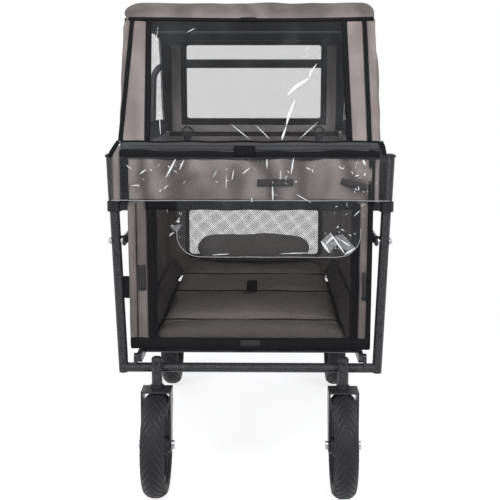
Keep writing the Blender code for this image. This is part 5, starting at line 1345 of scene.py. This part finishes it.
def makePillow():
    plan = pillowPlan
    middleY, middleZ = plan["backY"] - plan["deep"] / 2, plan["foot"] + plan["tall"] / 2
    bm = bmesh.new()
    rings = []
    for station in range(plan["stations"]):
        share = 2 * station / (plan["stations"] - 1) - 1
        full = max(0.22, max(0.0, 1 - abs(share) ** 6) ** 0.5)
        ring = []
        for step in range(plan["sides"]):
            angle = 2 * math.pi * step / plan["sides"]
            gather = 1 + 0.05 * math.sin(angle * 9) * abs(share) ** 4
            spot = (share * 1.2, math.cos(angle) * 0.4, math.sin(angle) * 0.4)
            size = full * gather * (1 + ripple(spot, 2.6, 9.0) * 0.12) * 0.93
            y = middleY + math.cos(angle) * plan["deep"] / 2 * size
            z = middleZ + math.sin(angle) * plan["tall"] / 2 * size
            ring.append(bm.verts.new((plan["half"] * share * 0.985, y, z)))
        rings.append(ring)
    for here, there in zip(rings, rings[1:]):
        for step in range(plan["sides"]):
            nxt = (step + 1) % plan["sides"]
            bm.faces.new((here[step], there[step], there[nxt], here[nxt]))
    bm.faces.new(rings[0])
    bm.faces.new(rings[-1])
    cushion = newPiece("pillowBolster", bm, [padCloth], None)
    low = (-plan["half"], plan["backY"] - plan["deep"], plan["foot"])
    high = (plan["half"], plan["backY"], plan["foot"] + plan["tall"])
    puffed(cushion, 0.005, 0.006, (low, high))
    smoothOnce(cushion)
    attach(cushion, "rear_frame")
    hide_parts("pillow")
    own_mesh(cushion)


strap = {"y": 0.0119, "foot": 0.3445, "radius": 0.0215, "width": 0.025, "thick": 0.0014}


def makePullStrap():
    bm = bmesh.new()
    points = [Vector((0, strap["y"] + strap["radius"] * math.cos(a),
                      strap["foot"] + strap["radius"] * math.sin(a) * 0.95))
              for a in [math.pi * k / 20 for k in range(21)]]
    middle = Vector((0, strap["y"], strap["foot"] - 0.002))
    addTape(bm, points, lambda p: p - middle, strap["width"], strap["thick"])
    loop = newPiece("pullStrap", bm, [blackTape], "floor_rear")
    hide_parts("pull_strap")


makeMattress()
makePillow()
makePullStrap()
print("padding made")


# Round tyres with curled ridges

wheels = {"height": 0.1075, "front": (0.190, -0.385), "rear": (0.226, 0.3555)}
tread = {"radius": 0.1063, "inner": 0.079, "rise": 0.0010, "curves": 34, "half": 0.0236, "turns": 96}


def crownDrop(share):
    return 0.0125 * abs(share) ** 2.6


def makeTyre(name, x, y, body, node):
    # a rounded crown, soft shoulders and a bulged side wall down to the rim
    profile = [(share / 8, tread["radius"] - crownDrop(share / 8)) for share in range(-8, 9)]
    side = [(1.0, 0.0905), (0.99, 0.0870), (0.93, 0.0825), (0.82, tread["inner"])]
    profile = [(-a, r) for a, r in reversed(side)] + profile + side
    bm = bmesh.new()
    rings = []
    for step in range(tread["turns"]):
        angle = 2 * math.pi * step / tread["turns"]
        rings.append([bm.verts.new((x + a * tread["half"], y + r * math.cos(angle),
                                    wheels["height"] + r * math.sin(angle))) for a, r in profile])
    for k, ring in enumerate(rings):
        after = rings[(k + 1) % len(rings)]
        for j in range(len(ring)):
            nxt = (j + 1) % len(ring)
            bm.faces.new((ring[j], ring[nxt], after[nxt], after[j]))
    tyre = newPiece(name, bm, [tyreRubber], body)
    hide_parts(node)


def makeTread(name, x, y, body):
    # swept ridges curl from the middle of the crown to each shoulder
    def outward(spot):
        return Vector((0.25 * (spot.x - x), spot.y - y, spot.z - wheels["height"]))

    bm = bmesh.new()
    section = [(-0.0013, 0), (-0.0009, tread["rise"]), (0.0009, tread["rise"]), (0.0013, 0)]
    for k in range(tread["curves"]):
        for side in (-1, 1):
            start = 2 * math.pi * (k + (0.5 if side > 0 else 0.0)) / tread["curves"]
            for low, high, sweep, shift in ((0.05, 0.97, 0.30, 0.0), (0.32, 0.90, 0.13, 0.085)):
                spine = []
                for step in range(9):
                    share = step / 8
                    across = low + (high - low) * share
                    angle = start + shift + sweep * (1 - math.cos(math.pi * 0.62 * share))
                    radius = tread["radius"] - crownDrop(across) - 0.0002
                    spine.append(Vector((x + side * across * tread["half"], y + radius * math.cos(angle),
                                         wheels["height"] + radius * math.sin(angle))))
                addSweep(bm, spine, outward, section)
    newPiece(name, bm, [treadRubber], body, smooth=False)


for sideWord, sign in (("Left", -1), ("Right", 1)):
    for endWord in ("front", "rear"):
        x, y = wheels[endWord]
        wheel = endWord + "_wheel_" + sideWord.lower()
        makeTyre(endWord + "Tyre" + sideWord, sign * x, y, wheel, endWord + "_tyre_" + sideWord.lower())
        makeTread(endWord + "Tread" + sideWord, sign * x, y, wheel)
print("tyres made")


# Camera, floor and light

lens = {"place": (0.026, -2.243, 0.8466), "pitch": 10.216, "yaw": 0.79, "focal": 69.12}
eye = bpy.data.objects.new("camera", bpy.data.cameras.new("camera"))
eye.data.sensor_width = 36.0
eye.data.lens = lens["focal"]
eye.data.clip_end = 60.0
eye.location = lens["place"]
eye.rotation_euler = (math.radians(90 - lens["pitch"]), 0, math.radians(lens["yaw"]))
bpy.context.scene.collection.objects.link(eye)
bpy.context.scene.camera = eye


def seenDirectly(tree):
    # 1 where the camera, a reflection or the clear film looks, 0 for light on the wagon
    path = wire(tree, "ShaderNodeLightPath").outputs
    through = sums(tree, "MAXIMUM", path["Is Glossy Ray"], path["Is Transmission Ray"])
    return sums(tree, "MAXIMUM", path["Is Camera Ray"], through)


def makeFloor():
    bm = bmesh.new()
    addGrid(bm, lambda u, v: Vector((-9 + 18 * u, -6 + 22 * v, 0)), 4, 4)
    mesh = bpy.data.meshes.new("floor")
    bm.to_mesh(mesh)
    bm.free()
    floor = bpy.data.objects.new("floor", mesh)
    bpy.context.scene.collection.objects.link(floor)
    paper = bpy.data.materials.new("paper")
    paper.use_nodes = True
    tree = paper.node_tree
    tree.nodes.clear()
    place = wire(tree, "ShaderNodeTexCoord").outputs["Object"]
    grain = noiseOf(tree, place, 60.0, 2.0)
    plain = wire(tree, "ShaderNodeBsdfDiffuse", None, Color=(0.5, 0.5, 0.5, 1.0))
    bump = wire(tree, "ShaderNodeBump", None, Strength=0.02, Distance=0.001, Height=grain)
    tree.links.new(bump.outputs["Normal"], plain.inputs["Normal"])
    seen = seenDirectly(tree)
    dim = sums(tree, "MULTIPLY", seen, 0.77)
    glow = wire(tree, "ShaderNodeEmission", None, Color=(1, 1, 1, 1), Strength=dim)
    both = wire(tree, "ShaderNodeAddShader", None, i0=plain.outputs[0], i1=glow.outputs[0])
    # the paper fades to plain white away from the wagon
    reach = wire(tree, "ShaderNodeVectorMath", {"operation": "LENGTH"}, i0=place).outputs["Value"]
    far = rangeOf(tree, reach, (0.7, 1.5), {"interpolation_type": "SMOOTHSTEP"})
    white = wire(tree, "ShaderNodeEmission", None, Color=(1, 1, 1, 1), Strength=seen)
    mixed = wire(tree, "ShaderNodeMixShader", None, i0=far, i1=both.outputs[0], i2=white.outputs[0])
    wire(tree, "ShaderNodeOutputMaterial", None, Surface=mixed.outputs[0])
    mesh.materials.append(paper)


def makeWorld():
    world = bpy.data.worlds.new("studio")
    bpy.context.scene.world = world
    world.use_nodes = True
    tree = world.node_tree
    tree.nodes.clear()
    seen = seenDirectly(tree)
    # the room is darker overhead
    aim = wire(tree, "ShaderNodeTexCoord").outputs["Generated"]
    up = wire(tree, "ShaderNodeSeparateXYZ", None, Vector=aim).outputs["Z"]
    fade = rangeOf(tree, up, (0.1, 0.9, 0.95, 0.30))
    soft = wire(tree, "ShaderNodeBackground", None, Color=(0.9, 0.93, 1.0, 1), Strength=fade)
    white = wire(tree, "ShaderNodeBackground", None, Color=(1, 1, 1, 1), Strength=1.0)
    mix = wire(tree, "ShaderNodeMixShader", None, i0=seen, i1=soft.outputs[0], i2=white.outputs[0])
    wire(tree, "ShaderNodeOutputWorld", None, Surface=mix.outputs[0])


# each lamp: place, goal, size and power
lamps = {
    "keyLeft": ((-1.9, -2.7, 2.2), (0, 0, 0.6), 1.4, 38),
    "keyRight": ((2.1, -2.5, 2.1), (0, 0, 0.6), 1.4, 34),
    "frontHigh": ((0.1, -2.3, 2.9), (0, 0.1, 0.5), 1.2, 26),
}


def makeLamps():
    for name, (place, goal, size, power) in lamps.items():
        lamp = bpy.data.lights.new(name, "AREA")
        lamp.shape = "SQUARE"
        lamp.size = size
        lamp.energy = power
        holder = bpy.data.objects.new(name, lamp)
        holder.location = place
        holder.rotation_euler = (Vector(goal) - Vector(place)).to_track_quat("-Z", "Y").to_euler()
        bpy.context.scene.collection.objects.link(holder)


makeFloor()
makeWorld()
makeLamps()
bpy.context.scene.view_settings.view_transform = "Standard"
print("studio made")
